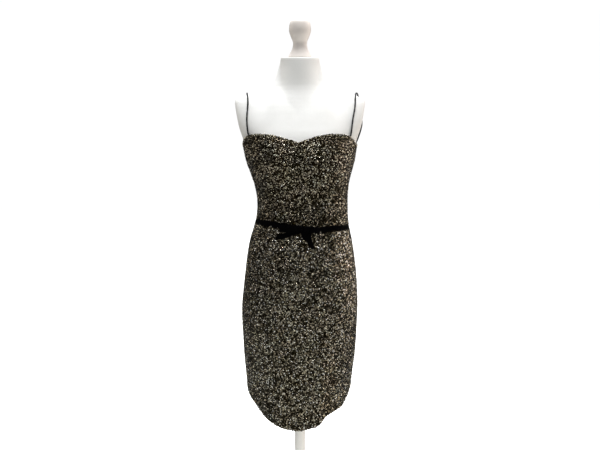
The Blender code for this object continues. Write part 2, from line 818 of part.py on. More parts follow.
def make_pull(axis, finish):
    """The pull tab, a plate with a window at its top, hanging straight down from the hinge axis."""
    bar = TAB_BAR / 2
    plate = chamfered(TAB_HEAD / 2, TAB_FOOT / 2, bar, bar - TAB_LENGTH, 0.0006, 0.0012)
    half_window = WINDOW_WIDTH / 2
    window = chamfered(half_window, half_window, -bar, -bar - WINDOW_LENGTH, 0.0002, 0.0002)
    count = len(plate)
    points = []
    for y in (-TAB_THICK / 2, TAB_THICK / 2):
        points += [Vector((x, y, z)) for x, z in plate + window]
    faces = []
    for index in range(count):
        following = (index + 1) % count
        for near, far in ((0, count), (2 * count, 3 * count), (0, 2 * count), (count, 3 * count)):
            faces.append((near + index, near + following, far + following, far + index))
    pull = solid("zip_pull", points, faces, finish, crease=30.0)
    pull.location = axis


def make_zip(finish):
    """The slider that closes the back seam below the neckline, and its pull tab."""
    height = neckline(180.0) - SLIDER_DROP
    seat = figure(180.0, height)
    away = outward(180.0, height)
    tilt = math.atan2(away.z, away.y)
    place = Matrix.Translation(seat + away * SLIDER_CLEAR) @ Matrix.Rotation(tilt, 4, "X")
    make_slider(place, finish)
    make_pull(place @ Vector((0.0, SLIDER_DEPTH + (BAIL_RISE - BAIL_BAR) / 2, 0.0)), finish)


def clear_scene():
    for obj in list(bpy.data.objects):
        bpy.data.objects.remove(obj)


def main():
    clear_scene()
    beaded = material("beaded_cloth", (0.060, 0.054, 0.040), 0.45)
    black = material("black_velvet", (0.006, 0.006, 0.008), 0.85)
    white = material("white_form", (0.80, 0.79, 0.77), 0.55)
    steel = material("white_steel", (0.78, 0.78, 0.77), 0.35)
    metal = material("zip_metal", (0.05, 0.05, 0.05), 0.40, metallic=1.0)
    panels = make_dress(beaded)
    make_belt(panels, black)
    cloth = tree_of(*(made[1] for made in panels.values()))
    make_tail("bow_tail_left", LEFT_TAIL, cloth, black)
    make_tail("bow_tail_right", RIGHT_TAIL, cloth, black)
    for row in LOOPS:
        make_loop(row, cloth, black)
    make_knot(cloth, black)
    form = tree_of(make_form(white))
    make_left_strap(form, black)
    make_right_strap(form, black)
    make_stand(white, steel)
    make_zip(metal)


main()
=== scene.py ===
"""Finish of a cocktail dress on a dress form: cloth, sequins, ribbons, straps, form, stand and light.

Metres, +Z up and -Y is the front. Angles go round the pole in degrees: 0 is the front centre and
+90 the +X side. In names left is the -X side, as the front is looked at.
"""

import math
from collections import namedtuple

import bmesh
import bpy
import numpy as np
from mathutils import Matrix, Vector, noise
from mathutils.bvhtree import BVHTree


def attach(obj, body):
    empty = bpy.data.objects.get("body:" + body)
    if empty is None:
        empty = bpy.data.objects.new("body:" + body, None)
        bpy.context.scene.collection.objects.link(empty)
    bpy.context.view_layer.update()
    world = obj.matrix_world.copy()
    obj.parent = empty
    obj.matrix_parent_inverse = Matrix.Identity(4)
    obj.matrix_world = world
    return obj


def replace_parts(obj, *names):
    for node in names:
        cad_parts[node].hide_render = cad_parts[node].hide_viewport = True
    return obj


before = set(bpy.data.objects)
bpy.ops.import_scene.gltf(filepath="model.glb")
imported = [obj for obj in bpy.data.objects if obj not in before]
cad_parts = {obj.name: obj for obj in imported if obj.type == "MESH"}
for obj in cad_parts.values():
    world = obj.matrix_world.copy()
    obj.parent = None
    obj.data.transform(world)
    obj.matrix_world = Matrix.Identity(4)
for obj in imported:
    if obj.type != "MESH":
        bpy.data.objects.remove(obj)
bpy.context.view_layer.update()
BODY = "dress_on_form"
UP = np.array([0.0, 0.0, 1.0])

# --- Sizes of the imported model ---
# The solids have the same ones, but for the neckline: its finish ends up to 3.5 mm lower on the two cups

WALL, SEAM, FORM_CLEAR = 0.0018, 0.0003, 0.0015
NECKLINE_TURN = 3.0
NECK_TOP, NECK_LEAN, NECK_START = 1.526, 10.0, 1.45
ARM_LOW, ARM_LOW_X = 1.29, 0.157
ARM_HIGH, ARM_HIGH_X = 1.404, 0.1811
ARM_START = 1.28
STRAP_RADIUS, STRAP_CLEAR, STRAP_POINTS = 0.00225, 0.0006, 40
STRAP_MIDDLE_Y, STRAP_MIDDLE_Z = 0.01, 1.33
BELT_WIDTH, BELT_THICK = 0.0145, 0.0012
BOW_ANGLE = 7.0

# Ovals of the figure: height, middle in x, half width, depth in front and behind, squareness
FIGURE = (
    (0.48, -0.003, 0.149, 0.115, 0.105, 2.1),
    (0.58, -0.003, 0.153, 0.1165, 0.108, 2.1),
    (0.63, -0.0025, 0.1568, 0.118, 0.112, 2.1),
    (0.68, -0.0015, 0.1618, 0.1195, 0.117, 2.1),
    (0.73, -0.001, 0.1642, 0.12, 0.122, 2.1),
    (0.78, -0.0012, 0.1664, 0.12, 0.127, 2.1),
    (0.83, -0.0005, 0.1668, 0.119, 0.13, 2.1),
    (0.88, 0.001, 0.1632, 0.117, 0.13, 2.1),
    (0.925, 0.0022, 0.1588, 0.115, 0.126, 2.1),
    (0.972, 0.0022, 0.1528, 0.111, 0.116, 2.1),
    (1.02, 0.0028, 0.1444, 0.106, 0.102, 2.1),
    (1.066, 0.0048, 0.1328, 0.1, 0.088, 2.1),
    (1.1, 0.0068, 0.1274, 0.096, 0.08, 2.1),
    (1.135, 0.007, 0.1263, 0.094, 0.078, 2.1),
    (1.18, 0.0044, 0.131, 0.099, 0.085, 2.1),
    (1.214, 0.0025, 0.1404, 0.103, 0.09, 2.1),
    (1.25, 0.001, 0.1512, 0.105, 0.095, 2.1),
    (1.28, 0.0, 0.1562, 0.102, 0.0985, 2.1),
    (1.31, 0.0, 0.1635, 0.097, 0.101, 2.15),
    (1.34, 0.0, 0.178, 0.089, 0.1, 2.2),
    (1.368, 0.0, 0.186, 0.08, 0.096, 2.3),
    (1.39, 0.0, 0.189, 0.0715, 0.089, 2.35),
    (1.404, 0.0, 0.1878, 0.0665, 0.084, 2.4),
    (1.414, 0.0, 0.1815, 0.0635, 0.0805, 2.4),
    (1.424, 0.0, 0.161, 0.061, 0.0775, 2.4),
    (1.434, 0.0, 0.135, 0.0592, 0.074, 2.35),
    (1.447, 0.0, 0.1085, 0.0577, 0.069, 2.3),
    (1.463, 0.0, 0.0865, 0.0566, 0.0635, 2.2),
    (1.48, 0.0, 0.0705, 0.0557, 0.0592, 2.1),
    (1.5, 0.0, 0.0605, 0.055, 0.0563, 2.0),
    (1.53, 0.0, 0.0545, 0.0543, 0.0545, 2.0),
)
CUP_ACROSS, CUP_HEIGHT, CUP_SPREAD = 0.078, 1.246, 0.052
CUP_ABOVE, CUP_BELOW, CUP_DEPTH = 0.06, 0.042, 0.017

# Angles and heights of the dress's two edges and its waist seam
NECKLINE = (
    (0, 1.294), (12, 1.301), (26, 1.3085), (37, 1.3135), (48, 1.316), (59, 1.3158), (67, 1.312),
    (73, 1.3045), (80, 1.2945), (90, 1.289), (130, 1.2815), (180, 1.275),
)
WAIST = (
    (-180, 1.069), (-90, 1.0775), (-55, 1.0785), (-20, 1.0722), (20, 1.0643), (55, 1.0648), (90, 1.061),
    (180, 1.069),
)
HEM = (
    (-180, 0.505), (-150, 0.512), (-125, 0.54), (-105, 0.572), (-90, 0.583), (-80, 0.576),
    (-66, 0.5589), (-48, 0.5261), (-33, 0.5103), (-18, 0.501), (3, 0.495), (18, 0.502), (26, 0.512),
    (37, 0.5335), (54, 0.5435), (63, 0.5455), (70, 0.563), (77, 0.581), (90, 0.588), (105, 0.576),
    (125, 0.54), (150, 0.512), (180, 0.505),
)
# Angle, spread, depth, and the heights where a fold starts and is full
FOLDS = (
    (27, 8, 0.006, 0.88, 0.58),
    (10, 9, -0.005, 0.86, 0.58),
    (-24, 12, 0.0025, 0.78, 0.56),
    (-55, 10, -0.003, 0.82, 0.6),
    (62, 10, -0.0035, 0.8, 0.6),
    (118, 12, 0.0035, 0.8, 0.6),
    (150, 10, -0.003, 0.76, 0.56),
    (-122, 12, 0.0035, 0.8, 0.58),
    (-152, 11, -0.003, 0.78, 0.58),
)
# Turns over the left shoulder, seen from its side, and the strap's x there
LEFT_STRAP = (
    (-18, -0.1362), (15, -0.141), (40, -0.141), (60, -0.1398), (100, -0.1462), (228, -0.125),
)
# Points of the right strap, which has slipped outward
RIGHT_STRAP = (
    (0.133, -0.0565, 1.305), (0.1402, -0.053, 1.35), (0.1468, -0.044, 1.385),
    (0.1494, -0.0325, 1.41), (0.152, -0.013, 1.4265), (0.1575, 0.004, 1.43),
    (0.1625, 0.024, 1.425), (0.169, 0.04, 1.408), (0.1738, 0.049, 1.385),
    (0.177, 0.049, 1.362), (0.1769, 0.044, 1.346), (0.1725, 0.039, 1.328),
    (0.1665, 0.0345, 1.311), (0.162, 0.0315, 1.3005), (0.157, 0.0285, 1.29),
    (0.153, 0.027, 1.278),
)

# --- The figure ---


def read(table, at):
    """The other columns of a table at a value of its first column, on a smooth curve through the rows."""
    last = len(table) - 1
    at = min(max(at, table[0][0]), table[last][0])
    index = max(row for row in range(last) if table[row][0] <= at)
    rows = max(index - 1, 0), index, index + 1, min(index + 2, last)
    before, low, high, after = (np.array(table[row]) for row in rows)
    span = high[0] - low[0]
    leave = span * (high - before) / (high[0] - before[0])
    arrive = span * (after - low) / (after[0] - low[0])
    t = (at - low[0]) / span
    curve = (2 * t**3 - 3 * t**2 + 1) * low + (t**3 - 2 * t**2 + t) * leave
    return (curve + (3 * t**2 - 2 * t**3) * high + (t**3 - t**2) * arrive)[1:]


def smoothed(rows, steps):
    """More rows, at even steps along a smooth curve through the rows given."""
    table = [(index, *row) for index, row in enumerate(rows)]
    return [read(table, (len(rows) - 1) * step / steps) for step in range(steps + 1)]


def sampled(table, count=3000):
    """A table read at many even steps, for fast look-up in arrays: where it is read, and its columns."""
    at = np.linspace(table[0][0], table[-1][0], count)
    return at, np.array([read(table, value) for value in at]).T


FIGURE_AT, FIGURE_COLUMNS = sampled(FIGURE)
NECK_LEVELS, WAIST_LEVELS, HEM_LEVELS = (sampled(table) for table in (NECKLINE, WAIST, HEM))
ALL_ROUND = np.linspace(-180.0, 180.0, 1441)


def ease(t):
    t = np.clip(t, 0.0, 1.0)
    return t * t * (3 - 2 * t)


def turned(angle):
    return (np.asarray(angle, float) + 180.0) % 360.0 - 180.0


def level(levels, angle):
    at, columns = levels
    return np.interp(angle, at, columns[0])


def neckline(angle):
    return level(NECK_LEVELS, np.abs(turned(angle + NECKLINE_TURN)))


def waist(angle):
    return level(WAIST_LEVELS, turned(angle))


def hem(angle):
    return level(HEM_LEVELS, turned(angle))


# Angle, height, spread, reach, slant and depth of the soft creases, below 0 where they go in
CREASES = (
    (-62, 1.115, 16, 0.01, 60, -0.0012),
    (-70, 1.15, 14, 0.009, 90, -0.001),
    (58, 1.108, 15, 0.009, -80, -0.0012),
    (66, 1.14, 18, 0.011, -60, -0.0011),
    (-20, 1.035, 7, 0.03, 20, -0.0009),
    (36, 1.03, 8, 0.034, -30, -0.0011),
    (-44, 0.985, 9, 0.04, 10, 0.0008),
    (150, 1.12, 20, 0.01, 40, -0.0013),
    (-150, 1.125, 20, 0.01, -40, -0.0013),
    (165, 1.17, 16, 0.012, 50, -0.001),
    (-166, 1.165, 16, 0.012, -60, -0.001),
    (140, 0.76, 18, 0.016, 20, -0.0014),
    (-140, 0.752, 18, 0.016, -20, -0.0014),
)


def creased(angle, height):
    """How far the creases move the cloth, which its own weight and the pull of the waist make."""
    total = 0.0
    for middle, level_of, spread, reach, slant, depth in CREASES:
        away = turned(angle - middle - slant * (height - level_of)) / spread
        rise = (height - level_of) / reach
        total = total + depth * np.exp(-away * away - rise * rise)
    return total


def oval(height):
    """The figure's middle, half width, depth in front, depth behind and squareness."""
    return [np.interp(height, FIGURE_AT, column) for column in FIGURE_COLUMNS]


def figure(angle, height, dressed=False):
    """Points on the outside of the figure, with the dress's folds and creases where dressed."""
    angle, height = np.broadcast_arrays(np.asarray(angle, float), np.asarray(height, float))
    middle, half_width, front, back, squareness = oval(height)
    across, ahead = np.sin(np.radians(angle)), np.cos(np.radians(angle))
    depth = np.where(ahead > 0, front, back)
    spread = (np.abs(across) / half_width) ** squareness + (np.abs(ahead) / depth) ** squareness
    reach = spread ** (-1 / squareness)
    if dressed:
        for fold, wide, deep, start, full in FOLDS:
            away = turned(angle - fold) / wide
            reach = reach + deep * np.exp(-away * away) * ease((start - height) / (start - full))
        reach = reach + creased(angle, height)
    x, y = reach * across, -reach * ahead
    over = np.where(height > CUP_HEIGHT, CUP_ABOVE, CUP_BELOW)
    side, rise = (np.abs(x) - CUP_ACROSS) / CUP_SPREAD, (height - CUP_HEIGHT) / over
    y = y - CUP_DEPTH * np.exp(-side * side - rise * rise) * np.sqrt(np.maximum(ahead, 0.0))
    return np.stack([x + middle, y, height], -1)


def unit(vectors):
    return vectors / np.linalg.norm(vectors, axis=-1, keepdims=True)


def outward(angle, height, dressed=False):
    """The directions that face out of the figure."""
    small_turn, small_rise = 0.5, 0.001
    round_it = figure(angle + small_turn, height, dressed) - figure(angle - small_turn, height, dressed)
    up_it = figure(angle, height + small_rise, dressed) - figure(angle, height - small_rise, dressed)
    return unit(np.cross(round_it, up_it))


def on_dress(angle, height):
    return figure(angle, height, dressed=True)


def off_dress(angle, height):
    return outward(angle, height, dressed=True)


def lengths(line):
    """The lengths along a line of points, from its start to each."""
    return np.concatenate([[0.0], np.cumsum(np.linalg.norm(np.diff(line, axis=0), axis=1))])


# --- Meshes ---


def linked(name, data):
    obj = bpy.data.objects.new(name, data)
    bpy.context.scene.collection.objects.link(obj)
    return obj


def mesh_of(name, points, faces, finishes, slots=None, tints=None, body=BODY):
    """A mesh object from points and from arrays of faces, the faces of one array with as many corners."""
    points = np.asarray(points, np.float32).reshape(-1, 3)
    corners = np.concatenate([part.ravel() for part in faces]).astype(np.int32)
    sizes = np.concatenate([np.full(*part.shape, np.int32) for part in faces])
    mesh = bpy.data.meshes.new(name)
    for parts, count, key, values in (
        (mesh.vertices, len(points), "co", points.ravel()),
        (mesh.loops, len(corners), "vertex_index", corners),
        (mesh.polygons, len(sizes), "loop_start", np.cumsum(sizes, dtype=np.int32) - sizes),
    ):
        parts.add(count)
        parts.foreach_set(key, values)
    if slots is not None:
        mesh.polygons.foreach_set("material_index", np.asarray(slots, np.int32))
    mesh.update(calc_edges=True)
    mesh.shade_smooth()
    if tints is not None:
        layer = mesh.color_attributes.new("tint", "FLOAT_COLOR", "POINT")
        rgba = np.ones((len(points), 4), np.float32)
        rgba[:, :3] = tints
        layer.data.foreach_set("color", rgba.ravel())
    for finish in finishes:
        mesh.materials.append(MATERIALS[finish])
    obj = linked(name, mesh)
    if body:
        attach(obj, body)
    return obj


def grid_faces(rows, columns, closed=False):
    """Quads over rows+1 lines of points, each of columns+1 points, or of columns where they close."""
    width = columns if closed else columns + 1
    row, column = np.meshgrid(np.arange(rows), np.arange(columns), indexing="ij")
    first = row * width + column
    following = row * width + (column + 1) % width if closed else first + 1
    return np.stack([first, following, following + width, first + width], -1).reshape(-1, 4)


def shell(name, outside, inside, finishes):
    """A closed wall between two grids of points with the same shape. A second finish is its inside's."""
    rows, columns = outside.shape[:2]
    count = rows * columns
    front = grid_faces(rows - 1, columns - 1)
    index = np.arange(count).reshape(rows, columns)
    rim = np.concatenate([index[0, :-1], index[:-1, -1], index[-1, :0:-1], index[:0:-1, 0]])
    ahead = np.roll(rim, -1)
    edge = np.stack([rim, rim + count, ahead + count, ahead], -1)
    faces = np.concatenate([front, front[:, ::-1] + count, edge])
    slots = np.repeat([0, len(finishes) - 1, 0], [len(front), len(front), len(edge)])
    points = np.concatenate([outside.reshape(-1, 3), inside.reshape(-1, 3)])
    return mesh_of(name, points, [faces], finishes, slots)


def circles(middles, first, second, sides, spin=0.0):
    """Points round each middle, from its first direction towards its second, as (middles, sides, 3)."""
    turn = (spin + math.tau * np.arange(sides) / sides)[..., None]
    return middles[:, None] + np.cos(turn) * first[:, None] + np.sin(turn) * second[:, None]


def closed_tube(name, rings, ends, finish, *nodes):
    """A solid lofted through rings, facing outward, each end closed with a fan to a point."""
    count, sides = rings.shape[:2]
    around, end, last = np.arange(sides), np.full(sides, count * sides), (count - 1) * sides
    following = (around + 1) % sides
    low_fan = np.stack([end, following, around], -1)
    high_fan = np.stack([end + 1, last + around, last + following], -1)
    faces = [grid_faces(count - 1, sides, closed=True), low_fan, high_fan]
    obj = mesh_of(name, [*rings.reshape(-1, 3), *ends], faces, [finish])
    shape = bmesh.new()
    shape.from_mesh(obj.data)
    bmesh.ops.recalc_face_normals(shape, faces=shape.faces)
    shape.to_mesh(obj.data)
    shape.free()
    if nodes:
        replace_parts(obj, *nodes)
    return obj


# --- Materials ---

MATERIALS = {}
LEVEL_THREADS, UPRIGHT_THREADS = (0.0, 0.0, 0.0), (0.0, 1.571, 0.0)


def material(name, colour, roughness, metallic=0.0, **constants):
    """A Principled material. Constants are values of its other sockets, with _ for a space."""
    made = MATERIALS[name] = bpy.data.materials.new(name)
    made.use_nodes = True
    values = {"Base_Color": (*colour, 1.0), "Roughness": roughness, "Metallic": metallic, **constants}
    for key, value in values.items():
        shader_of(made).inputs[key.replace("_", " ")].default_value = value
    return made


def shader_of(made):
    return made.node_tree.nodes["Principled BSDF"]


def node(made, kind, **settings):
    """A new node. Settings are its own properties, or its inputs where the key starts with in_."""
    new = made.node_tree.nodes.new("ShaderNode" + kind)
    for key, value in settings.items():
        if key.startswith("in_"):
            new.inputs[key[3:].replace("_", " ")].default_value = value
        else:
            setattr(new, key, value)
    return new


def join(made, output, target):
    made.node_tree.links.new(output, target)


def place(made, stretch=1.0, turn=LEVEL_THREADS):
    """The object's own coordinates in metres, stretched in z and turned."""
    where = node(made, "TexCoord")
    mapping = node(made, "Mapping", in_Scale=(1.0, 1.0, stretch), in_Rotation=turn)
    join(made, where.outputs["Object"], mapping.inputs["Vector"])
    return mapping.outputs["Vector"]


def tinted(made):
    """Takes the colour from the mesh's tint layer."""
    tint = node(made, "VertexColor", layer_name="tint")
    join(made, tint.outputs["Color"], shader_of(made).inputs["Base Color"])


def speckled(made, scale, low, high, stretch=1.0):
    """Takes the colour from noise spread over two colours."""
    grain = node(made, "TexNoise", in_Scale=scale, in_Detail=3.0, in_Roughness=0.6)
    ramp = node(made, "ValToRGB")
    for element, position, colour in zip(ramp.color_ramp.elements, (0.35, 0.65), (low, high)):
        element.position = position
        element.color = (*colour, 1.0)
    join(made, place(made, stretch), grain.inputs["Vector"])
    join(made, grain.outputs["Fac"], ramp.inputs["Fac"])
    join(made, ramp.outputs["Color"], shader_of(made).inputs["Base Color"])


def varied(made, scale, low, high, stretch=1.0):
    """Takes the roughness from noise between two values. Returns the noise."""
    grain = node(made, "TexNoise", in_Scale=scale, in_Detail=2.0)
    spread = node(made, "MapRange", in_To_Min=low, in_To_Max=high)
    join(made, place(made, stretch), grain.inputs["Vector"])
    join(made, grain.outputs["Fac"], spread.inputs["Value"])
    join(made, spread.outputs["Result"], shader_of(made).inputs["Roughness"])
    return grain.outputs["Fac"]


def threads(made, scale, turn):
    """Bands across the object's coordinates, for woven threads."""
    bands = node(made, "TexWave", in_Scale=scale, in_Distortion=0.6, in_Detail=1.0)
    join(made, place(made, turn=turn), bands.inputs["Vector"])
    return bands.outputs["Fac"]


def raised(made, height, depth, under=None):
    """Bumps the shader by a height, over an earlier bump where one is given. Returns the bump."""
    bump = node(made, "Bump", in_Strength=1.0, in_Distance=depth)
    join(made, height, bump.inputs["Height"])
    if under:
        join(made, under, bump.inputs["Normal"])
    join(made, bump.outputs["Normal"], shader_of(made).inputs["Normal"])
    return bump.outputs["Normal"]


def make_sequin_materials():
    made = material("sequins", (0.1, 0.09, 0.07), 0.3, 1.0)
    tinted(made)
    raised(made, varied(made, 900.0, 0.1, 0.34), 0.0002)

    made = material("beads", (0.1, 0.09, 0.07), 0.18, 0.9)
    tinted(made)
    varied(made, 700.0, 0.12, 0.35)


def make_cloth_materials():
    made = material("beaded_cloth", (0.004, 0.0036, 0.0028), 0.8, Specular_IOR_Level=0.08)
    speckled(made, 420.0, (0.0022, 0.0018, 0.0008), (0.0076, 0.0062, 0.0032))
    weave = node(made, "Math", operation="ADD")
    for way, turn in enumerate((LEVEL_THREADS, UPRIGHT_THREADS)):
        join(made, threads(made, 260.0, turn), weave.inputs[way])
    raised(made, weave.outputs[0], 0.0003)

    made = material("lining", (0.035, 0.031, 0.027), 0.42, Sheen_Weight=0.2)
    speckled(made, 90.0, (0.028, 0.025, 0.021), (0.045, 0.04, 0.035), stretch=0.2)
    raised(made, threads(made, 500.0, UPRIGHT_THREADS), 0.00008)

    made = material(
        "black_velvet", (0.0014, 0.0014, 0.0017), 0.9,
        Sheen_Weight=0.008, Sheen_Roughness=0.4, Specular_IOR_Level=0.01,
    )
    speckled(made, 260.0, (0.0006, 0.0006, 0.0008), (0.0018, 0.0017, 0.002))
    raised(made, varied(made, 2200.0, 0.7, 0.98), 0.00025)

    made = material("black_satin", (0.007, 0.008, 0.012), 0.5, Specular_IOR_Level=0.3)
    speckled(made, 300.0, (0.005, 0.0058, 0.009), (0.011, 0.0125, 0.018))
    varied(made, 800.0, 0.38, 0.62)
    raised(made, threads(made, 420.0, (0.6, 0.5, 0.0)), 0.00015)

    made = material("white_form", (0.84, 0.843, 0.82), 0.55, Sheen_Weight=0.08)
    speckled(made, 18.0, (0.825, 0.828, 0.811), (0.855, 0.858, 0.844))
    grain = raised(made, varied(made, 140.0, 0.45, 0.62), 0.00012)
    raised(made, threads(made, 320.0, LEVEL_THREADS), 0.00006, grain)


def make_hard_materials():
    for name, low, high in (
        ("white_paint", (0.775, 0.765, 0.75), (0.82, 0.81, 0.795)),
        ("white_warm_paint", (0.795, 0.742, 0.698), (0.845, 0.79, 0.748)),
    ):
        made = material(name, high, 0.38, Coat_Weight=0.1)
        speckled(made, 30.0, low, high)
        raised(made, varied(made, 120.0, 0.3, 0.46), 0.00008)

    made = material("white_steel", (0.82, 0.82, 0.81), 0.4, Coat_Weight=0.15)
    speckled(made, 25.0, (0.8, 0.8, 0.79), (0.85, 0.85, 0.84))
    raised(made, varied(made, 1400.0, 0.34, 0.5), 0.00006)

    made = material("zip_metal", (0.06, 0.058, 0.055), 0.35, 1.0)
    speckled(made, 900.0, (0.045, 0.043, 0.04), (0.095, 0.09, 0.082), stretch=0.1)
    raised(made, varied(made, 1500.0, 0.25, 0.45, stretch=0.08), 0.00004)


def make_floor_material():
    """Pale, and brighter away from the object, so that it fades into the backdrop."""
    made = material("pale_floor", (0.9, 0.9, 0.9), 0.8, Emission_Color=(1.0, 1.0, 1.0, 1.0))
    speckled(made, 3.0, (0.895, 0.895, 0.895), (0.905, 0.905, 0.905))
    away = node(made, "VectorMath", operation="LENGTH")
    fade = node(made, "MapRange", in_From_Min=0.25, in_From_Max=0.62, in_To_Min=0.25, in_To_Max=1.0)
    join(made, place(made), away.inputs[0])
    join(made, away.outputs["Value"], fade.inputs["Value"])
    join(made, fade.outputs["Result"], shader_of(made).inputs["Emission Strength"])


# --- Cloth ---

CLOTH_THICK = 0.001
# Columns and rows are the mesh's. Width and length are the panel's greatest, laid flat
Panel = namedtuple("Panel", "name first last upper columns rows width length")
PANELS = (
    Panel("bodice_front", -90.0, 90.0, True, 120, 60, 0.41, 0.29),
    Panel("bodice_back_right", 90.0, 180.0, True, 56, 50, 0.22, 0.235),
    Panel("bodice_back_left", -180.0, -90.0, True, 56, 50, 0.22, 0.235),
    Panel("skirt_front", -90.0, 90.0, False, 120, 90, 0.48, 0.59),
    Panel("skirt_back_right", 90.0, 180.0, False, 56, 80, 0.26, 0.59),
    Panel("skirt_back_left", -180.0, -90.0, False, 56, 80, 0.26, 0.59),
)
SIDE_RADIUS = 0.15  # of the figure, about, for the seams' share of a turn
HALF_SEAM = math.degrees(SEAM / 2 / SIDE_RADIUS)


def panel_limits(panel):
    if panel.upper:
        return (lambda angle: waist(angle) + SEAM / 2), neckline
    return hem, (lambda angle: waist(angle) - SEAM / 2)


def area_of(points):
    """The area of a grid of points."""
    along, up = points[:-1, 1:] - points[:-1, :-1], points[1:, :-1] - points[:-1, :-1]
    return float(np.linalg.norm(np.cross(along, up), axis=-1).sum())


def make_cloth(panel):
    """The panel's cloth, a thin shell on its outer surface, with a lining inside, and its flat area."""
    low, high = panel_limits(panel)
    angles = np.linspace(panel.first + HALF_SEAM, panel.last - HALF_SEAM, panel.columns + 1)
    share = np.linspace(0.0, 1.0, panel.rows + 1)[:, None]
    heights = low(angles) + (high(angles) - low(angles)) * share
    outside = on_dress(angles, heights)
    inside = outside - off_dress(angles, heights) * CLOTH_THICK
    cloth = shell("cloth_" + panel.name, outside, inside, ["beaded_cloth", "lining"])
    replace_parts(cloth, panel.name)
    return cloth, area_of(outside)


# --- Sequins and beads ---

PITCH = 0.0032  # between sequins
ROW_RISE = 0.87  # of the pitch, between rows
SCATTER_ALONG, SCATTER_UP = 0.3, 0.32  # of the pitch
PAST_LOW, PAST_HIGH, UNDER_BELT = 0.0008, 0.0006, 0.0012  # reach past a panel's ends and under the belt
ZIP_FOOT = 0.93
# Degrees without sequins beside the zip and its slider, and how far down the slider's reach
ZIP_BARE, SLIDER_BARE, SLIDER_FOOT = 1.4, 2.6, 0.019

SEQUIN_SIDES, SEQUIN_SEED = 6, 100
SEQUIN_RADIUS = (0.00148, 0.00192)
SEQUIN_LIFT = (0.0005, 0.0009)  # middles above the cloth
SEQUIN_CUP, SEQUIN_HOLE = 0.0003, 0.6  # depth, and how bright the hole with its thread is
SEQUIN_TILT, MOST_TILT, SEQUIN_DROOP = 15.0, 36.0, 0.1
BODICE_SHADE_SHIFT = -0.09  # towards darker kinds: painted shade that makes the bodice darker than the skirt

BEAD_SHARE, BEAD_SEED = 0.26, 300  # small beads for each sequin
BEAD_LIFT, BEAD_RADIUS, BEAD_STRETCH = (0.0012, 0.0019), (0.0007, 0.0011), (1.0, 1.0, 1.7)
BEAD_SHIFT, EDGE_SHIFT = -0.04, 0.05  # towards darker and lighter kinds
EDGE_PITCH, EDGE_ALONG = 0.003, (0.1, 0.9)  # between an edge's beads, and where they lie in their share
EDGE_RADIUS, EDGE_SCATTER = (0.001, 0.0016), (0.0003, 0.0002)  # scatter is up the cloth and out from it
# How far the rows of beads on an edge lie above it and out from the cloth, from its outside to its inside
NECK_ROWS = ((-0.003, 0.0013), (-0.001, 0.0013), (0.0006, 0.0003), (-0.0002, -0.001))
HEM_ROWS = ((0.0032, 0.0013), (0.001, 0.0013), (-0.0006, 0.0003), (0.0004, -0.0012))

# Linear colours of the kinds of sequins and beads, their shares, how much larger and how much higher they are
PALETTE = np.array([
    (0.012, 0.009, 0.003, 0.4, 1.16, 0.001),  # black
    (0.165, 0.138, 0.085, 0.04, 0.98, 0.0001),  # bronze
    (0.3, 0.262, 0.182, 0.17, 1.02, 0.0),  # olive
    (0.43, 0.388, 0.297, 0.18, 1.02, 0.0001),  # taupe
    (0.7, 0.645, 0.526, 0.13, 0.98, 0.0004),  # champagne
    (0.95, 0.9, 0.8, 0.08, 0.94, 0.001),  # cream
])
COLOURS, (SHARES, GROWTHS, LIFTS) = PALETTE[:, :3], PALETTE[:, 3:].T
PATCHES = ((0.045, 55.0, 1.0), (0.025, 18.0, 2.0))  # strength, scale and seed of their patches
CLOUD_STEP, CLOUD_GAIN = (7.3, 3.1, 5.7), 1.6
BRIGHT_SPREAD, WARM_SPREAD, COLOUR_LIMITS = 0.2, 0.5, (0.002, 0.95)
WARM_WAY, GREEN_WAY = np.array([[0.6, 0.0, -0.7]]), np.array([[-0.6, 0.5, -0.2]])
WARM_DRIFT, GREEN_DRIFT = (0.05, 30.0, 3.0), (0.03, 40.0, 4.0)  # strength, scale and seed


def scattered(panel, rng, pitch):
    """Angles and heights of small things spread evenly over a panel, each a little off its place."""
    low, high = panel_limits(panel)
    dense = np.linspace(panel.first, panel.last, int((panel.last - panel.first) * 2) + 1)
    rows = np.arange(low(dense).min() - 0.001, high(dense).max() + 0.001, pitch * ROW_RISE)
    found = []
    for row, height in enumerate(rows):
        length = lengths(on_dress(dense, height))
        count = int(length[-1] / pitch)
        shift = 0.25 + 0.5 * (row % 2) + rng.uniform(-SCATTER_ALONG, SCATTER_ALONG, count)
        angle = np.interp((np.arange(count) + shift) * length[-1] / count, length, dense)
        found.append(np.stack([angle, height + rng.uniform(-SCATTER_UP, SCATTER_UP, count) * pitch], -1))
    angle, height = np.concatenate(found).T
    keep = (height > low(angle) - PAST_LOW) & (height < high(angle) + PAST_HIGH)
    keep &= np.abs(height - waist(angle)) > BELT_WIDTH / 2 - UNDER_BELT
    from_zip = np.abs(turned(angle - 180.0))
    keep &= (from_zip >= ZIP_BARE) | (height <= ZIP_FOOT)
    keep &= (from_zip >= SLIDER_BARE) | (height <= neckline(180.0) - SLIDER_FOOT)
    return angle[keep], height[keep]


def clouds(points, scale, seed):
    """Smooth noise at points, about -1 to 1, as a column."""
    shift = Vector([seed * part for part in CLOUD_STEP])
    return np.array([[noise.noise(Vector(point) * scale + shift)] for point in points]) * CLOUD_GAIN


def kinds(points, rng, shift):
    """The row of the palette for each point, in soft patches."""
    limits = np.cumsum(SHARES)
    patch = sum(strength * clouds(points, scale, seed)[:, 0] for strength, scale, seed in PATCHES)
    pick = np.clip(rng.uniform(0.0, 1.0, len(points)) + patch + shift, 0.0, 0.9999)
    return np.searchsorted(limits / limits[-1], pick)


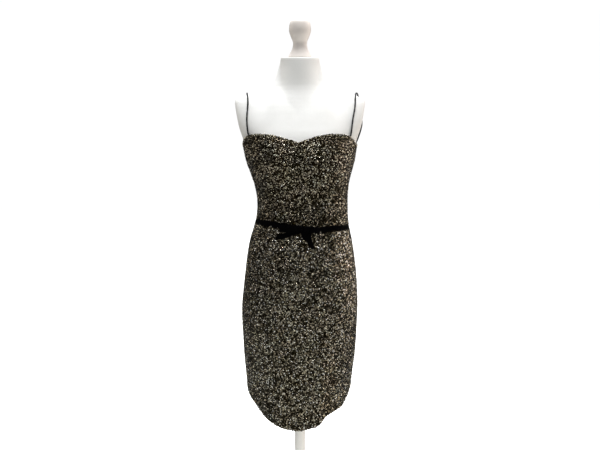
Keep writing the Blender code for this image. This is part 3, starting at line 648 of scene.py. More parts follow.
def tints(points, kind, rng):
    """A colour for each point, a little off that of its kind."""
    bright = rng.lognormal(0.0, BRIGHT_SPREAD, (len(points), 1))
    warm = clouds(points, *WARM_DRIFT[1:]) + rng.normal(0.0, WARM_SPREAD, (len(points), 1))
    green = clouds(points, *GREEN_DRIFT[1:])
    hue = 1.0 + WARM_DRIFT[0] * warm * WARM_WAY + GREEN_DRIFT[0] * green * GREEN_WAY
    return np.clip(COLOURS[kind] * bright * hue, *COLOUR_LIMITS)


def basis(normals):
    """Two directions across each normal, the first level and the second up the surface."""
    level_way = unit(np.cross(UP, normals))
    return level_way, np.cross(normals, level_way)


def tilted(normals, rng):
    """Normals leant by a random amount in random directions, and a little downward."""
    level_way, upward = basis(normals)
    turn = rng.uniform(0.0, math.tau, (len(normals), 1))
    tilt = np.clip(rng.normal(0.0, SEQUIN_TILT, (len(normals), 1)), -MOST_TILT, MOST_TILT)
    lean = np.tan(np.radians(tilt))
    return unit(normals + lean * (np.cos(turn) * level_way + np.sin(turn) * upward) - SEQUIN_DROOP * upward)


def fan(sides):
    """Triangles from corner 0 to the corners round it."""
    return [(0, 1 + side, 1 + (side + 1) % sides) for side in range(sides)]


def many(name, corners, faces, colours, finish):
    """One mesh of many small things with the same faces, from their corners of (things, corners, 3)."""
    count, width = corners.shape[:2]
    every = (np.arange(count)[:, None, None] * width + np.array(faces)).reshape(-1, 3)
    return mesh_of(name, corners, [every], [finish], tints=colours.reshape(-1, 3))


def make_sequins(panel, index):
    """Cupped discs all over the panel."""
    rng = np.random.default_rng(SEQUIN_SEED + index)
    angle, height = scattered(panel, rng, PITCH)
    places, normals = on_dress(angle, height), off_dress(angle, height)
    # On the bodice, the shift towards darker kinds is painted shade.
    kind = kinds(places, rng, BODICE_SHADE_SHIFT if panel.upper else 0.0)
    one_each = (len(angle), 1)
    middles = places + normals * (rng.uniform(*SEQUIN_LIFT, one_each) + LIFTS[kind, None])
    facing = tilted(normals, rng)
    side, up = basis(facing)
    radius = rng.uniform(*SEQUIN_RADIUS, one_each) * GROWTHS[kind, None]
    rims = circles(middles, radius * side, radius * up, SEQUIN_SIDES, rng.uniform(0.0, math.tau, one_each))
    corners = np.concatenate([(middles - facing * SEQUIN_CUP)[:, None], rims], 1)
    colours = np.repeat(tints(places, kind, rng)[:, None], SEQUIN_SIDES + 1, 1)
    colours[:, 0] *= SEQUIN_HOLE
    return many("sequins_" + panel.name, corners, fan(SEQUIN_SIDES), colours, "sequins")


# A bead's corners, from its top round its middle to its underside
BEAD = ((0, 0, 1.0), (1.0, 0, 0), (0, 1.0, 0), (-1.0, 0, 0), (0, -1.0, 0), (0, 0, -0.6))
BEAD_FACES = fan(4) + [(5, after, before) for _, before, after in fan(4)]


def many_beads(name, middles, normals, sizes, shift, rng):
    """Small faceted beads, some longer along one way than across it."""
    colours = tints(middles, kinds(middles, rng, shift), rng)
    side, up = basis(normals)
    spin = rng.uniform(0.0, math.pi, (len(middles), 1))
    long_way = np.cos(spin) * side + np.sin(spin) * up
    short_way = np.cross(normals, long_way)
    stretch = rng.choice(BEAD_STRETCH, (len(middles), 1))
    corners = [middles + sizes * (x * stretch * long_way + y * short_way + z * normals) for x, y, z in BEAD]
    return many(name, np.stack(corners, 1), BEAD_FACES, np.repeat(colours[:, None], len(BEAD), 1), "beads")


def make_beads(panel, index):
    """Seed beads between the sequins."""
    rng = np.random.default_rng(BEAD_SEED + index)
    angle, height = scattered(panel, rng, PITCH / math.sqrt(BEAD_SHARE))
    normals = off_dress(angle, height)
    middles = on_dress(angle, height) + normals * rng.uniform(*BEAD_LIFT, (len(angle), 1))
    sizes = rng.uniform(*BEAD_RADIUS, (len(angle), 1))
    return many_beads("beads_" + panel.name, middles, normals, sizes, BEAD_SHIFT, rng)


def make_edge(name, height_of, rows, seed):
    """Beads that bind an edge of the dress, in rows from its outside over to its inside."""
    rng = np.random.default_rng(seed)
    length = lengths(on_dress(ALL_ROUND, height_of(ALL_ROUND)))
    count = int(length[-1] / EDGE_PITCH)
    middles, normals, sizes = [], [], []
    for rise, out in rows:
        at = (np.arange(count) + rng.uniform(*EDGE_ALONG, count)) * length[-1] / count
        angle = np.interp(at, length, ALL_ROUND)
        height = height_of(angle) + rise + rng.normal(0.0, EDGE_SCATTER[0], count)
        away = off_dress(angle, height_of(angle))
        middles.append(on_dress(angle, height) + away * (out + rng.normal(0.0, EDGE_SCATTER[1], (count, 1))))
        normals.append(away)
        sizes.append(rng.uniform(*EDGE_RADIUS, (count, 1)))
    middles, normals, sizes = (np.concatenate(found) for found in (middles, normals, sizes))
    many_beads(name, middles, unit(normals), sizes, EDGE_SHIFT, rng)


# --- Ribbons ---

BELT_TURNS, BELT_COLUMNS, BELT_LIFT = 420, 8, SEAM + 0.0002
BELT_PILE = 0.0168  # the velvet's whole width, past the belt's woven edges
BELT_ROUNDING, BELT_RIBS, BELT_PULL = 0.5, 0.00025, 0.00025
BELT_WAVES = ((0.00035, 9.0, 0.0), (0.00025, 23.0, 40.0))  # height, waves in a turn and start
RIBBON_THICK, RIBBON_COLUMNS = 0.0009, 10
EDGE_THIN = 0.45  # share of the thickness that the edges lack


def waist_lengths():
    """The lengths along the waist from the knot to the angles all round."""
    length = lengths(on_dress(ALL_ROUND, waist(ALL_ROUND)))
    return length - np.interp(BOW_ANGLE, ALL_ROUND, length)


WAIST_LENGTHS = waist_lengths()


def on_cloth(along, down, out):
    """Points out from the cloth, at lengths along the waist from the knot and down from the seam."""
    angle = np.interp(along, WAIST_LENGTHS, ALL_ROUND)
    height = waist(angle) - down
    away = off_dress(angle, height)
    return on_dress(angle, height) + away * np.asarray(out)[..., None], away


def make_belt():
    """The velvet ribbon round the waist seam."""
    angles = np.linspace(-180.0, 180.0, BELT_TURNS, endpoint=False)
    share = np.linspace(-0.5, 0.5, BELT_COLUMNS + 1)
    wobble = sum(size * np.sin(np.radians(angles * waves + start)) for size, waves, start in BELT_WAVES)
    thick = BELT_THICK * (1.0 - BELT_ROUNDING * np.abs(2 * share) ** 5)
    outer = BELT_LIFT + (thick + BELT_RIBS * np.cos(math.tau * share * 2))
    away = off_dress(angles, waist(angles))
    away[:, 2] = 0.0
    away = unit(away)
    rings = []
    for side, out in [*((side, BELT_LIFT) for side in share), *zip(share[::-1], outer[::-1])]:
        height = waist(angles) + side * BELT_PILE + wobble
        pull = BELT_PULL * np.sin(np.radians(angles * 15.0 + 200.0 * side))
        rings.append(on_dress(angles, height) + away * (out + pull)[:, None])
    faces = grid_faces(len(rings), BELT_TURNS, closed=True) % (len(rings) * BELT_TURNS)
    made = mesh_of("velvet_belt", rings, [faces[:, ::-1]], ["black_velvet"])
    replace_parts(made, "belt")


def ribbon(name, node_name, middle, across, away, widths, wave, slant=None):
    """A ribbon through middle points. Wave gives how far out it stands at (length share, width share)."""
    share = np.linspace(-0.5, 0.5, RIBBON_COLUMNS + 1)
    steps = np.linspace(0.0, 1.0, len(middle))
    out = np.array([[wave(step, side) for side in share] for step in steps])[..., None]
    points = middle[:, None] + across[:, None] * (widths[:, None] * share)[..., None] + away[:, None] * out
    if slant is not None:
        onward = unit(np.gradient(middle, axis=0))
        points = points + onward[:, None] * (slant[:, None] * share)[..., None]
    half = RIBBON_THICK / 2 * (1.0 - EDGE_THIN * np.abs(2 * share) ** 6)[None, :, None]
    normal = unit(np.cross(np.gradient(points, axis=0), np.gradient(points, axis=1)))
    normal = np.where((normal * away[:, None]).sum(-1, keepdims=True) < 0, -normal, normal)
    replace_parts(shell(name, points + normal * half, points - normal * half, ["black_velvet"]), node_name)


# Shares of the length, lengths along the waist, heights down, gaps to the cloth, and widths
LEFT_TAIL = (
    (0.0, -0.005, 0.0045, 0.003, 0.0085),
    (0.2, -0.02, 0.0092, 0.0034, 0.011),
    (0.5, -0.043, 0.018, 0.003, 0.0138),
    (0.75, -0.061, 0.027, 0.0034, 0.0138),
    (1.0, -0.0785, 0.034, 0.003, 0.011),
)
RIGHT_TAIL = (
    (0.0, -0.0015, 0.007, 0.003, 0.027),
    (0.22, 0.001, 0.015, 0.0038, 0.0275),
    (0.45, 0.0062, 0.0255, 0.0034, 0.0175),
    (0.7, 0.0116, 0.037, 0.003, 0.012),
    (1.0, 0.0176, 0.051, 0.004, 0.0095),
)
TAIL_STEPS, TAIL_CURL, TAIL_RIPPLE = 40, 0.0012, 0.0005
CUT_SHARE = 0.25  # of the length, where the slant of the cut comes in

Loop = namedtuple("Loop", "name side reach droop width open")
LOOPS = (
    Loop("bow_loop_left", -1, 0.0705, 0.0084, 0.0178, 0.0062),
    Loop("bow_loop_right", 1, 0.035, 0.0006, 0.015, 0.0055),
)
LOOP_STEPS, BEND_STEPS = 26, 9
LOOP_TUCK, LOOP_BASE = 0.0022, 0.0036  # under the knot, and above the cloth
LOOP_BEND, LOOP_GAP = 0.0019, 0.0012  # radius at the loop's end, and between its layers at the knot
LOOP_NARROW, GATHER_WAVES, GATHER_DEPTH, LOOP_RIPPLE = 0.6, 2.4, 0.0009, 0.0004
# Shares of the length where the gap and the width are full and the gathers end
GAP_OPEN, LOOP_FULL, GATHER_END = 0.5, 0.38, 0.55
SWELL_ROUND, DROOP_LATE = 0.8, 1.3  # powers that shape the opening and the droop

KNOT_WIDTH, KNOT_HEIGHT, KNOT_DEPTH = 0.0108, 0.018, 0.0085
KNOT_DOWN, KNOT_OUT = 0.0015, 0.0021
KNOT_SIDES, KNOT_COLUMNS = 36, 14
KNOT_SQUARE, KNOT_ROUNDING = 2.8, 3.2
# How much thinner the knot gets towards its sides, what is left there, and how far out their middles lie
KNOT_PINCH, KNOT_END, KNOT_CAP = 0.32, 0.55, 1.02
KNOT_CREASES = (0.055, 9.0, 1.2), (0.02, 17.0)  # depths, waves across, and how the first ones lean


def make_tail(side_name, ways, cut):
    """A ribbon end that lies over the sequins, with a slanting cut."""
    share = np.linspace(0.0, 1.0, TAIL_STEPS)
    along, down, lift, widths = np.array([read(ways, value) for value in share]).T
    middle, away = on_cloth(along, down, lift)
    across = unit(np.cross(unit(np.gradient(middle, axis=0)), away))

    def wave(step, side):
        curl = TAIL_CURL * (0.25 - side * side) * 4 * math.sin(math.pi * step)
        return curl + TAIL_RIPPLE * math.sin(7.0 * step + 3.0 * side) * step

    slant = cut * ease((share - 1.0 + CUT_SHARE) / CUT_SHARE)
    ribbon("soft_tail_" + side_name, "bow_tail_" + side_name, middle, across, away, widths, wave, slant)


def make_loop(row):
    """A loop of ribbon: out from the knot, round, and back over itself, gathered at the knot."""
    share = np.linspace(0.0, 1.0, LOOP_STEPS)
    turn = np.linspace(0.0, math.pi, BEND_STEPS + 2)[1:-1]
    start, straight = KNOT_WIDTH / 2 - LOOP_TUCK, row.reach - LOOP_BEND
    out_way, back_way = start + (straight - start) * share, straight - (straight - start) * share
    along = np.concatenate([out_way, straight + LOOP_BEND * np.sin(turn), back_way])
    swell = row.open * np.sin(math.pi * share**SWELL_ROUND) ** SWELL_ROUND
    gap = LOOP_GAP + (2 * LOOP_BEND - LOOP_GAP) * ease(share / GAP_OPEN)
    bend = LOOP_BEND - LOOP_BEND * np.cos(turn)
    out = LOOP_BASE + np.concatenate([np.zeros(LOOP_STEPS), bend, (gap + swell)[::-1]])
    share = (along - start) / (row.reach - start)
    middle, away = on_cloth(row.side * along, row.droop * share**DROOP_LATE, out)
    across = unit(UP - away * (away @ UP)[:, None])
    facing = unit(np.cross(across, np.gradient(middle, axis=0)))
    widths = row.width * (LOOP_NARROW + (1.0 - LOOP_NARROW) * ease(share / LOOP_FULL))
    gathered = 1.0 - ease(share / GATHER_END)

    def wave(step, side):
        near = np.interp(step * (len(middle) - 1), np.arange(len(middle)), gathered)
        gathers = GATHER_DEPTH * near * math.cos(math.tau * side * GATHER_WAVES)
        return gathers + LOOP_RIPPLE * math.sin(5.0 * step + 4.0 * side)

    ribbon("soft_" + row.name, row.name, middle, across, facing, widths, wave)


def make_knot():
    """The band wrapped over the middle of the bow, with creases across its front."""
    centre, away = on_cloth(0.0, KNOT_DOWN, KNOT_OUT + KNOT_DEPTH / 2)
    side = unit(np.cross(UP, away))
    half_side, half_up = side * KNOT_WIDTH / 2, np.cross(away, side) * KNOT_HEIGHT / 2
    share = np.linspace(-1.0, 1.0, KNOT_COLUMNS + 1)[:, None]
    turn = math.tau * np.arange(KNOT_SIDES) / KNOT_SIDES
    ahead, above = np.cos(turn), np.sin(turn)
    pinch = 1.0 - KNOT_PINCH + KNOT_PINCH * np.sqrt(np.maximum(1.0 - np.abs(share) ** KNOT_ROUNDING, 0.0))
    pinch[[0, -1]] = KNOT_END
    round_it = (np.abs(ahead) ** KNOT_SQUARE + np.abs(above) ** KNOT_SQUARE) ** (-1 / KNOT_SQUARE)
    (deep, wide, lean), (fine, narrow) = KNOT_CREASES
    ridge = 1.0 + deep * np.cos(share * wide + lean * above) + fine * np.sin(share * narrow)
    outline = away * KNOT_DEPTH / 2 * ahead[:, None] + half_up * above[:, None]
    rings = centre + half_side * share[..., None] + (round_it * pinch * ridge)[..., None] * outline
    ends = [centre - half_side * KNOT_CAP, centre + half_side * KNOT_CAP]
    closed_tube("wrapped_knot", rings, ends, "black_velvet", "bow_knot")


def make_bow():
    make_tail("left", LEFT_TAIL, -0.008)
    make_tail("right", RIGHT_TAIL, -0.006)
    for row in LOOPS:
        make_loop(row)
    make_knot()


# --- Form ---

# Heights, with shares of the figure's depth in front, at the breastbone and neck, beside the neck and by the
# armholes, and the half width of the neck's column, which widens downward like a trumpet
SHOULDERS = (
    (1.3, 1.0, 1.0, 1.0, 0.11), (1.312, 1.0, 1.0, 0.993, 0.11),
    (1.325, 1.0, 1.0, 0.97, 0.11), (1.34, 0.99, 1.0, 0.935, 0.11),
    (1.354, 0.983, 1.0, 0.898, 0.11), (1.368, 0.978, 0.998, 0.855, 0.11),
    (1.38, 0.979, 0.995, 0.822, 0.11), (1.392, 0.981, 0.984, 0.788, 0.11),
    (1.404, 0.981, 0.96, 0.742, 0.105), (1.414, 0.977, 0.912, 0.702, 0.091),
    (1.424, 0.966, 0.828, 0.7, 0.077), (1.434, 0.952, 0.705, 0.73, 0.068),
    (1.447, 0.939, 0.56, 0.8, 0.061), (1.463, 0.948, 0.45, 0.9, 0.0572),
    (1.48, 0.966, 0.39, 1.0, 0.0558), (1.5, 0.982, 0.36, 1.0, 0.0555),
    (1.53, 0.995, 0.35, 1.0, 0.0555),
)
NECK_BLEND, BLEND_FULL, LEAST_BLEND, SLOPE_SQUARE = 0.01, 0.35, 1e-6, 2.2
BREASTBONE, BREAST_SIDE = 0.06, 0.13
ARM_BLEND, ARM_SOFTER, SOFTER_FROM, SOFTER_OVER = 0.0035, 0.01, 1.335, 0.07

FORM_SIDES = 220
# Stretches of rings, as lowest, highest and number, and then the rings of the foot and of the neck's rim
FORM_STRETCHES = ((0.785, 1.24, 46), (1.25, 1.4, 52), (1.4025, 1.44, 32), (1.443, 1.518, 30))
FORM_FOOT = (
    (0.76, 0.86), (0.7604, 0.89), (0.7616, 0.918), (0.7645, 0.945), (0.769, 0.967), (0.776, 0.986),
)
FORM_RIM = ((0.003, 0.9985), (0.0012, 0.992), (0.0003, 0.978), (0.0, 0.955), (0.0, 0.6))


def soft_least(value, limit, blend):
    """The smaller of two, with a rounded corner."""
    share = np.clip(0.5 + 0.5 * (limit - value) / blend, 0.0, 1.0)
    return limit * (1 - share) + value * share - blend * share * (1 - share)


def neck_and_shoulders(angle, height, half_width, front, x):
    """How much of the figure's reach is left where the neck stands out as a column before its shoulders."""
    across, ahead = np.abs(np.sin(np.radians(angle))), np.maximum(np.cos(np.radians(angle)), 0.0)
    at, *columns = np.array(SHOULDERS).T
    middle, beside, outer, neck = (np.interp(height, at, column) for column in columns)
    away = ease((np.abs(x) - BREASTBONE) / (BREAST_SIDE - BREASTBONE))
    share = beside * (middle + (outer - middle) * away)

    def reach(half, deep, squareness):
        return ((across / half) ** squareness + (ahead / deep) ** squareness) ** (-1 / squareness)

    whole, slope = reach(half_width, front, SLOPE_SQUARE), reach(half_width, front * share, SLOPE_SQUARE)
    column = reach(neck, front * middle, 2)
    blend = NECK_BLEND * ease((1.0 - beside) / BLEND_FULL) + LEAST_BLEND
    return np.where(ahead > 0, np.minimum(-soft_least(-slope, -column, blend) / whole, 1.0), 1.0)


def form_points(turns, heights):
    """Points on the dress form: the figure less the dress, cut flat at the armholes, its neck leaning."""
    turns, heights = np.broadcast_arrays(turns, heights)
    _, half_width, front, back, _ = oval(heights)
    ahead = np.cos(np.radians(turns))
    depth = np.where(ahead > 0, front, back)
    angle = np.degrees(np.arctan2(half_width * np.sin(np.radians(turns)), depth * ahead))
    points = figure(angle, heights) - outward(angle, heights) * (WALL + FORM_CLEAR)
    points[..., :2] *= neck_and_shoulders(angle, heights, half_width, front, points[..., 0])[..., None]
    slope = (ARM_HIGH_X - ARM_LOW_X) / (ARM_HIGH - ARM_LOW)
    limit = ARM_LOW_X + slope * (points[..., 2] - ARM_LOW)
    x = np.abs(points[..., 0])
    blend = ARM_BLEND + ARM_SOFTER * ease((heights - SOFTER_FROM) / SOFTER_OVER)
    cut = np.where(heights > ARM_START, soft_least(x, limit, blend), x)
    points[..., 0] = np.sign(points[..., 0]) * cut
    lean = ease((heights - NECK_START) / (NECK_TOP - NECK_START))
    points[..., 2] += points[..., 1] * lean * math.tan(math.radians(NECK_LEAN))
    return points


def make_form():
    """The torso, smooth all over, with a rounded rim at the neck and a turned-under foot."""
    turns = np.linspace(0.0, 360.0, FORM_SIDES, endpoint=False)
    heights = np.concatenate([np.linspace(*stretch) for stretch in FORM_STRETCHES])
    body = form_points(turns, heights[:, None])
    top = form_points(turns, np.full(turns.shape, NECK_TOP - 0.002))
    foot, rim = [], []
    for height, share in FORM_FOOT:
        foot.append(body[0] * share)
        foot[-1][:, 2] = height
    for drop, share in FORM_RIM:
        rim.append(top * share)
        rim[-1][:, 2] = NECK_TOP - drop + math.tan(math.radians(NECK_LEAN)) * rim[-1][:, 1]
    ends = [UP * FORM_FOOT[0][0], UP * NECK_TOP]
    torso = closed_tube("torso_cover", np.array([*foot, *body, *rim]), ends, "white_form", "form_torso")
    return torso


# --- Stand and finial ---

# Radii and heights of the turned pieces, the finial's from the neck's top
BASE = (
    (0.1885, 0.0), (0.1895, 0.0004), (0.19, 0.0015), (0.19, 0.006), (0.1896, 0.0072),
    (0.1885, 0.0082), (0.1868, 0.009), (0.184, 0.0096), (0.178, 0.0099), (0.05, 0.01),
)
SOCKET = (
    (0.03, 0.0103), (0.0301, 0.013), (0.0299, 0.0145), (0.0285, 0.0165), (0.0268, 0.019),
    (0.026, 0.021), (0.0252, 0.034), (0.0246, 0.05), (0.0243, 0.0538), (0.0236, 0.055),
    (0.02, 0.0553),
)
POLE = ((0.0155, 0.0556), (0.016, 0.056), (0.016, 0.3), (0.016, 0.747), (0.0157, 0.7474))
COLLAR = (
    (0.0355, 0.7477), (0.0378, 0.7481), (0.0393, 0.7492), (0.04, 0.751), (0.04, 0.759),
    (0.0396, 0.7597),
)
FINIAL = (
    (0.0308, 0.0003), (0.0316, 0.001), (0.0316, 0.0028), (0.0308, 0.0045), (0.029, 0.0075),
    (0.0266, 0.0115), (0.0243, 0.0155), (0.022, 0.02), (0.0203, 0.0245), (0.0192, 0.0292),
    (0.0188, 0.0335), (0.0192, 0.038), (0.0206, 0.0425), (0.0227, 0.047), (0.0246, 0.0515),
    (0.0263, 0.0555), (0.0279, 0.06), (0.029, 0.0645), (0.0295, 0.069), (0.0295, 0.0735),
    (0.0291, 0.078), (0.0283, 0.0825), (0.027, 0.0872), (0.0248, 0.0915), (0.0212, 0.0952),
    (0.016, 0.0982), (0.009, 0.1002), (0.003, 0.1008),
)
SHARP_ANGLE = 38.0


def lathe(name, profile, finish, node_name, sides=96, matrix=Matrix()):
    """A turned solid round the pole, in place of a node."""
    radius, height = np.array(profile).T[..., None]
    rings = circles(height * UP, radius * [1.0, 0.0, 0.0], radius * [0.0, 1.0, 0.0], sides)
    turn, shift = np.array(matrix.to_3x3()), np.array(matrix.translation)
    ends = (height * UP)[[0, -1]] @ turn.T + shift
    made = closed_tube(name, rings @ turn.T + shift, ends, finish, node_name)
    made.data.set_sharp_from_angle(angle=math.radians(SHARP_ANGLE))


def make_stand():
    lathe("base_cover", smoothed(BASE, 30), "white_steel", "base", sides=160)
    lathe("socket_cover", smoothed(SOCKET, 30), "white_steel", "base_socket")
    lathe("pole_cover", POLE, "white_steel", "pole")
    lathe("collar_cover", smoothed(COLLAR, 16), "white_paint", "form_collar")
    lean = Matrix.Translation((0.0, 0.0, NECK_TOP)) @ Matrix.Rotation(math.radians(NECK_LEAN), 4, "X")
    lathe("finial_cover", smoothed(FINIAL, 66), "white_warm_paint", "finial", matrix=lean)


# --- Straps ---

STRAP_STEPS, STRAP_SIDES = 240, 16
STRAP_TUCK = 0.0045  # sewn behind the neckline
STRAP_FLATTEN = 0.006  # length in which an end flattens
STRAP_FLAT, STRAP_WIDE, STRAP_SINK = 0.55, 0.2, 0.0012  # how flat, wide and low an end gets
STRAP_SLIM, STRAP_END = 0.96, 0.0004
FINE_PUCKER, LONG_PUCKER = (0.035, 1500.0), (0.03, 430.0)


def tree_of(obj):
    points = [vertex.co.copy() for vertex in obj.data.vertices]
    return BVHTree.FromPolygons(points, [tuple(face.vertices) for face in obj.data.polygons])


def clear_of(tree, point, distance):
    """The point, moved out until it is at least this distance from the surface."""
    nearest, away, _, apart = tree.find_nearest(point)
    if (point - nearest).dot(away) < 0 or apart < distance:
        return nearest + away * distance
    return point


def even(route, count):
    """The same route with points spaced evenly."""
    steps = [0.0] + [(end - start).length for start, end in zip(route, route[1:])]
    table = [(length, *point) for length, point in zip(np.cumsum(steps), route)]
    return [Vector(read(table, table[-1][0] * step / (count - 1))) for step in range(count)]


def settled(route, tree, rounds=6):
    """The route with even points, clear of the form at each point and between them."""
    for _ in range(rounds):
        route = [clear_of(tree, point, STRAP_RADIUS + STRAP_CLEAR) for point in even(route, STRAP_POINTS)]
        for index in range(len(route) - 1):
            _, away, _, apart = tree.find_nearest(route[index].lerp(route[index + 1], 0.5))
            lack = max(STRAP_RADIUS + STRAP_CLEAR - apart, 0.0)
            route[index] += away * lack
            route[index + 1] += away * lack
    return route


def above_edge(point):
    """How far the end of a strap at this point stands above the bodice's sloping top edge."""
    angle = math.degrees(math.atan2(point.x, -point.y))
    low, high = figure(angle - 1.0, point.z), figure(angle + 1.0, point.z)
    slope = (neckline(angle + 1.0) - neckline(angle - 1.0)) / np.linalg.norm(high - low)
    return point.z - float(neckline(angle)) - STRAP_RADIUS * abs(slope)


def strap_routes(tree):
    """The two straps' middle lines, from the front edge of the bodice over the shoulder to the back."""
    left = []
    first, last = LEFT_STRAP[0][0], LEFT_STRAP[-1][0]
    for step in range(STRAP_POINTS):
        turn = first + (last - first) * step / (STRAP_POINTS - 1)
        centre = Vector((read(LEFT_STRAP, turn)[0], STRAP_MIDDLE_Y, STRAP_MIDDLE_Z))
        ahead = Vector((0.0, -math.cos(math.radians(turn)), math.sin(math.radians(turn))))
        hit, away, _, _ = tree.ray_cast(centre + ahead, -ahead)
        left.append(hit + away * (STRAP_RADIUS + STRAP_CLEAR))
    right = [Vector(point) for point in smoothed(RIGHT_STRAP, STRAP_POINTS - 1)]
    for route in (left, right):
        route = settled(route, tree)
        yield [point for point in even(route, 20 * STRAP_POINTS) if above_edge(point) > -STRAP_TUCK]


def make_strap(name, node_name, route, tree):
    """A rouleau: a narrow tube of bias satin with its turned seam inside, puckered here and there."""
    middle = np.array(even(route, STRAP_STEPS))
    onward = unit(np.gradient(middle, axis=0))
    away = np.array([tree.find_nearest(Vector(point))[1] for point in middle])
    away = unit(away - onward * (away * onward).sum(-1, keepdims=True))
    length = lengths(middle)[:, None]
    from_end = np.minimum(length, length[-1] - length)
    near_end = 1.0 - ease((from_end - STRAP_TUCK) / STRAP_FLATTEN)
    turn = math.tau * np.arange(STRAP_SIDES) / STRAP_SIDES
    pucker = FINE_PUCKER[0] * np.sin(length * FINE_PUCKER[1] + 2.0 * turn)
    pucker = pucker + LONG_PUCKER[0] * np.sin(length * LONG_PUCKER[1])
    flat, wide = (1.0 - STRAP_FLAT * near_end) * away, (1.0 + STRAP_WIDE * near_end) * np.cross(onward, away)
    outline = circles(np.zeros(middle.shape), flat, wide, STRAP_SIDES)
    centre = middle - away * STRAP_SINK * near_end
    rings = centre[:, None] + (STRAP_RADIUS * STRAP_SLIM * (1.0 + pucker))[..., None] * outline
    ends = rings[[0, -1]].mean(1) + onward[[0, -1]] * [[-STRAP_END], [STRAP_END]]
    closed_tube(name, rings, ends, "black_satin", node_name)


def make_straps(torso):
    tree = tree_of(torso)
    left, right = strap_routes(tree)
    make_strap("rouleau_left", "strap_left", left, tree)
    make_strap("rouleau_right", "strap_right", right, tree)


# --- Zip ---

LIP_STEPS, LIP_SIDES = 150, 8
LIP_RADIUS, LIP_APART, LIP_PROUD = 0.00115, 0.00125, 0.0002
LIP_TAPER, LIP_POINT = 0.012, 0.35  # length of the lower end's taper, and how thin it starts
LIP_UNDER, LIP_TOP = 0.006, 0.0035  # how far it starts below the zip's foot and ends below the neckline
LIP_WIDE, BY_BELT, BY_SLIDER = 1.05, 0.3, 0.55  # shares of its radius across, and at the belt and the slider
SLIDER_DOWN, SLIDER_HALF = 0.012, 0.0062  # its middle below the neckline, and half its height


def make_zip_lips():
    """The two rolled edges of cloth that meet over the invisible zip at the back centre."""
    top = neckline(180.0)
    heights = np.linspace(ZIP_FOOT - LIP_UNDER, top - LIP_TOP, LIP_STEPS)
    by_slider = np.abs(heights - (top - SLIDER_DOWN)) < SLIDER_HALF
    by_belt = np.abs(heights - waist(180.0)) < BELT_WIDTH / 2 + 0.001
    squeeze = np.where(by_belt, BY_BELT, np.where(by_slider, BY_SLIDER, 1.0))[:, None]
    taper = ease((heights - heights[0]) / LIP_TAPER)[:, None]
    radius = LIP_RADIUS * (LIP_POINT + (1.0 - LIP_POINT) * taper) * squeeze
    away = off_dress(180.0, heights)
    for name, way in (("left", -1.0), ("right", 1.0)):
        across = np.array([[way, 0.0, 0.0]])
        middle = on_dress(180.0, heights) + across * LIP_APART + away * LIP_PROUD * squeeze
        rings = circles(middle, radius * away, radius * LIP_WIDE * across, LIP_SIDES)
        closed_tube("zip_lip_" + name, rings, rings[[0, -1]].mean(1), "black_satin")


def finish_zip():
    for name in ("zip_slider", "zip_pull"):
        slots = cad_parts[name].data.materials
        slots.clear()
        slots.append(MATERIALS["zip_metal"])


# --- Dress ---


def make_dress():
    for index, panel in enumerate(PANELS):
        cloth, area = make_cloth(panel)
        pieces = [make_sequins(panel, index), make_beads(panel, index)]
    make_edge("neckline_beads", neckline, NECK_ROWS, 51)
    make_edge("hem_beads", hem, HEM_ROWS, 52)
    make_zip_lips()
    finish_zip()


# --- Floor, camera and light ---

FLOOR_HALF = 9.0
CAMERA_PLACE, CAMERA_PITCH = (0.0, -1.436, 1.28), 81.4
CAMERA_LENS, CAMERA_SENSOR, CAMERA_REACH = 30.42, 36.0, 60.0

# Name, place, size, power, colour, the height it aims at, and whether gloss shows it
LAMPS = (
    ("soft_above", (0.12, -0.38, 5.2), 2.6, 250.0, (1.0, 1.0, 1.0), 1.15, True),
    ("soft_right", (2.2, 0.4, 1.2), 2.5, 34.0, (1.0, 0.88, 0.79), 1.0, True),
    ("soft_left", (-2.2, 0.7, 1.6), 1.4, 7.0, (1.0, 0.88, 0.72), 1.15, True),
    ("small_front", (-0.35, -2.1, 1.95), 0.24, 4.5, (1.0, 1.0, 1.0), 1.15, True),
    ("soft_behind", (0.0, 2.6, 3.4), 2.6, 30.0, (1.0, 1.0, 1.0), 1.15, True),
    ("small_low", (0.0, -0.75, 0.3), 0.4, 3.0, (1.0, 0.98, 0.9), 0.4, False),
    ("warm_bounce", (0.5, -0.22, 0.16), 0.24, 0.26, (1.0, 0.8, 0.6), 0.5, True),
)
DIFFUSE_LIGHT, BACKDROP = 0.64, 1.02  # the world's strength on matt surfaces, and as it is seen
# Position, from straight below at 0.0 to straight above at 1.0, brightness, and blue's share of it
WORLD_SHADES = (
    (0.15, 1.0, 0.93), (0.24, 0.56, 0.96), (0.38, 0.11, 1.0),
    (0.6, 0.12, 1.0), (0.7, 0.7, 1.0), (0.95, 0.9, 1.0),
)


def make_floor():
    corners = np.array([(-1, -1, 0), (1, -1, 0), (1, 1, 0), (-1, 1, 0)]) * FLOOR_HALF
    floor = mesh_of("floor", corners, [np.arange(4)[None]], ["pale_floor"], body=None)
    floor.visible_diffuse = False
    floor.visible_glossy = False


def make_camera():
    camera = linked("camera", bpy.data.cameras.new("camera"))
    camera.data.lens = CAMERA_LENS
    camera.data.sensor_width = CAMERA_SENSOR
    camera.data.clip_end = CAMERA_REACH
    camera.location = CAMERA_PLACE
    camera.rotation_euler = (math.radians(CAMERA_PITCH), 0.0, 0.0)
    bpy.context.scene.camera = camera


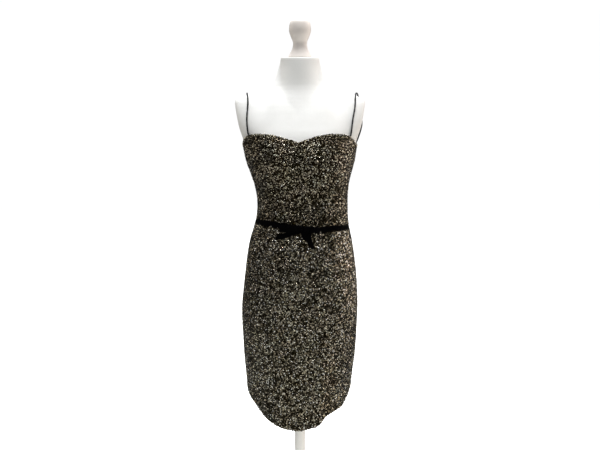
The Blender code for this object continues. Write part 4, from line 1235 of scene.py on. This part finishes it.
def make_lamps():
    for name, spot, size, power, colour, aim, in_gloss in LAMPS:
        lamp = linked(name, bpy.data.lights.new(name, "AREA"))
        lamp.data.size, lamp.data.energy, lamp.data.color = size, power, colour
        lamp.location = spot
        lamp.rotation_euler = (Vector((0.0, 0.0, aim)) - Vector(spot)).to_track_quat("-Z", "Y").to_euler()
        lamp.visible_glossy = in_gloss


def make_world():
    """Even soft light, brighter from above, with a plain white backdrop."""
    world = bpy.data.worlds.new("studio")
    world.use_nodes = True
    bpy.context.scene.world = world
    light, output = (world.node_tree.nodes[name] for name in ("Background", "World Output"))
    backdrop = node(world, "Background", in_Color=(1.0, 1.0, 1.0, 1.0), in_Strength=BACKDROP)
    where, split, seen = (node(world, kind) for kind in ("TexCoord", "SeparateXYZ", "LightPath"))
    height = node(world, "MapRange", in_From_Min=-1.0)
    strength = node(world, "MapRange", in_To_Min=DIFFUSE_LIGHT)
    ramp, mix = node(world, "ValToRGB"), node(world, "MixShader")
    shades = ramp.color_ramp.elements
    while len(shades) < len(WORLD_SHADES):
        shades.new(0.5)
    for shade, (position, brightness, blue) in zip(shades, WORLD_SHADES):
        shade.position = position
        shade.color = (brightness, brightness, brightness * blue, 1.0)
    for start, end in (
        (where.outputs["Generated"], split.inputs["Vector"]),
        (split.outputs["Z"], height.inputs["Value"]),
        (height.outputs["Result"], ramp.inputs["Fac"]),
        (ramp.outputs["Color"], light.inputs["Color"]),
        (seen.outputs["Is Glossy Ray"], strength.inputs["Value"]),
        (strength.outputs["Result"], light.inputs["Strength"]),
        (seen.outputs["Is Camera Ray"], mix.inputs["Fac"]),
        (light.outputs["Background"], mix.inputs[1]),
        (backdrop.outputs["Background"], mix.inputs[2]),
        (mix.outputs["Shader"], output.inputs["Surface"]),
    ):
        join(world, start, end)


# --- Assembly ---

make_sequin_materials()
make_cloth_materials()
make_hard_materials()
make_floor_material()
torso = make_form()
make_belt()
make_dress()
make_bow()
make_straps(torso)
make_stand()
make_floor()
make_camera()
make_lamps()
make_world()
bpy.context.scene.view_settings.view_transform = "Standard"

bpy.context.view_layer.update()
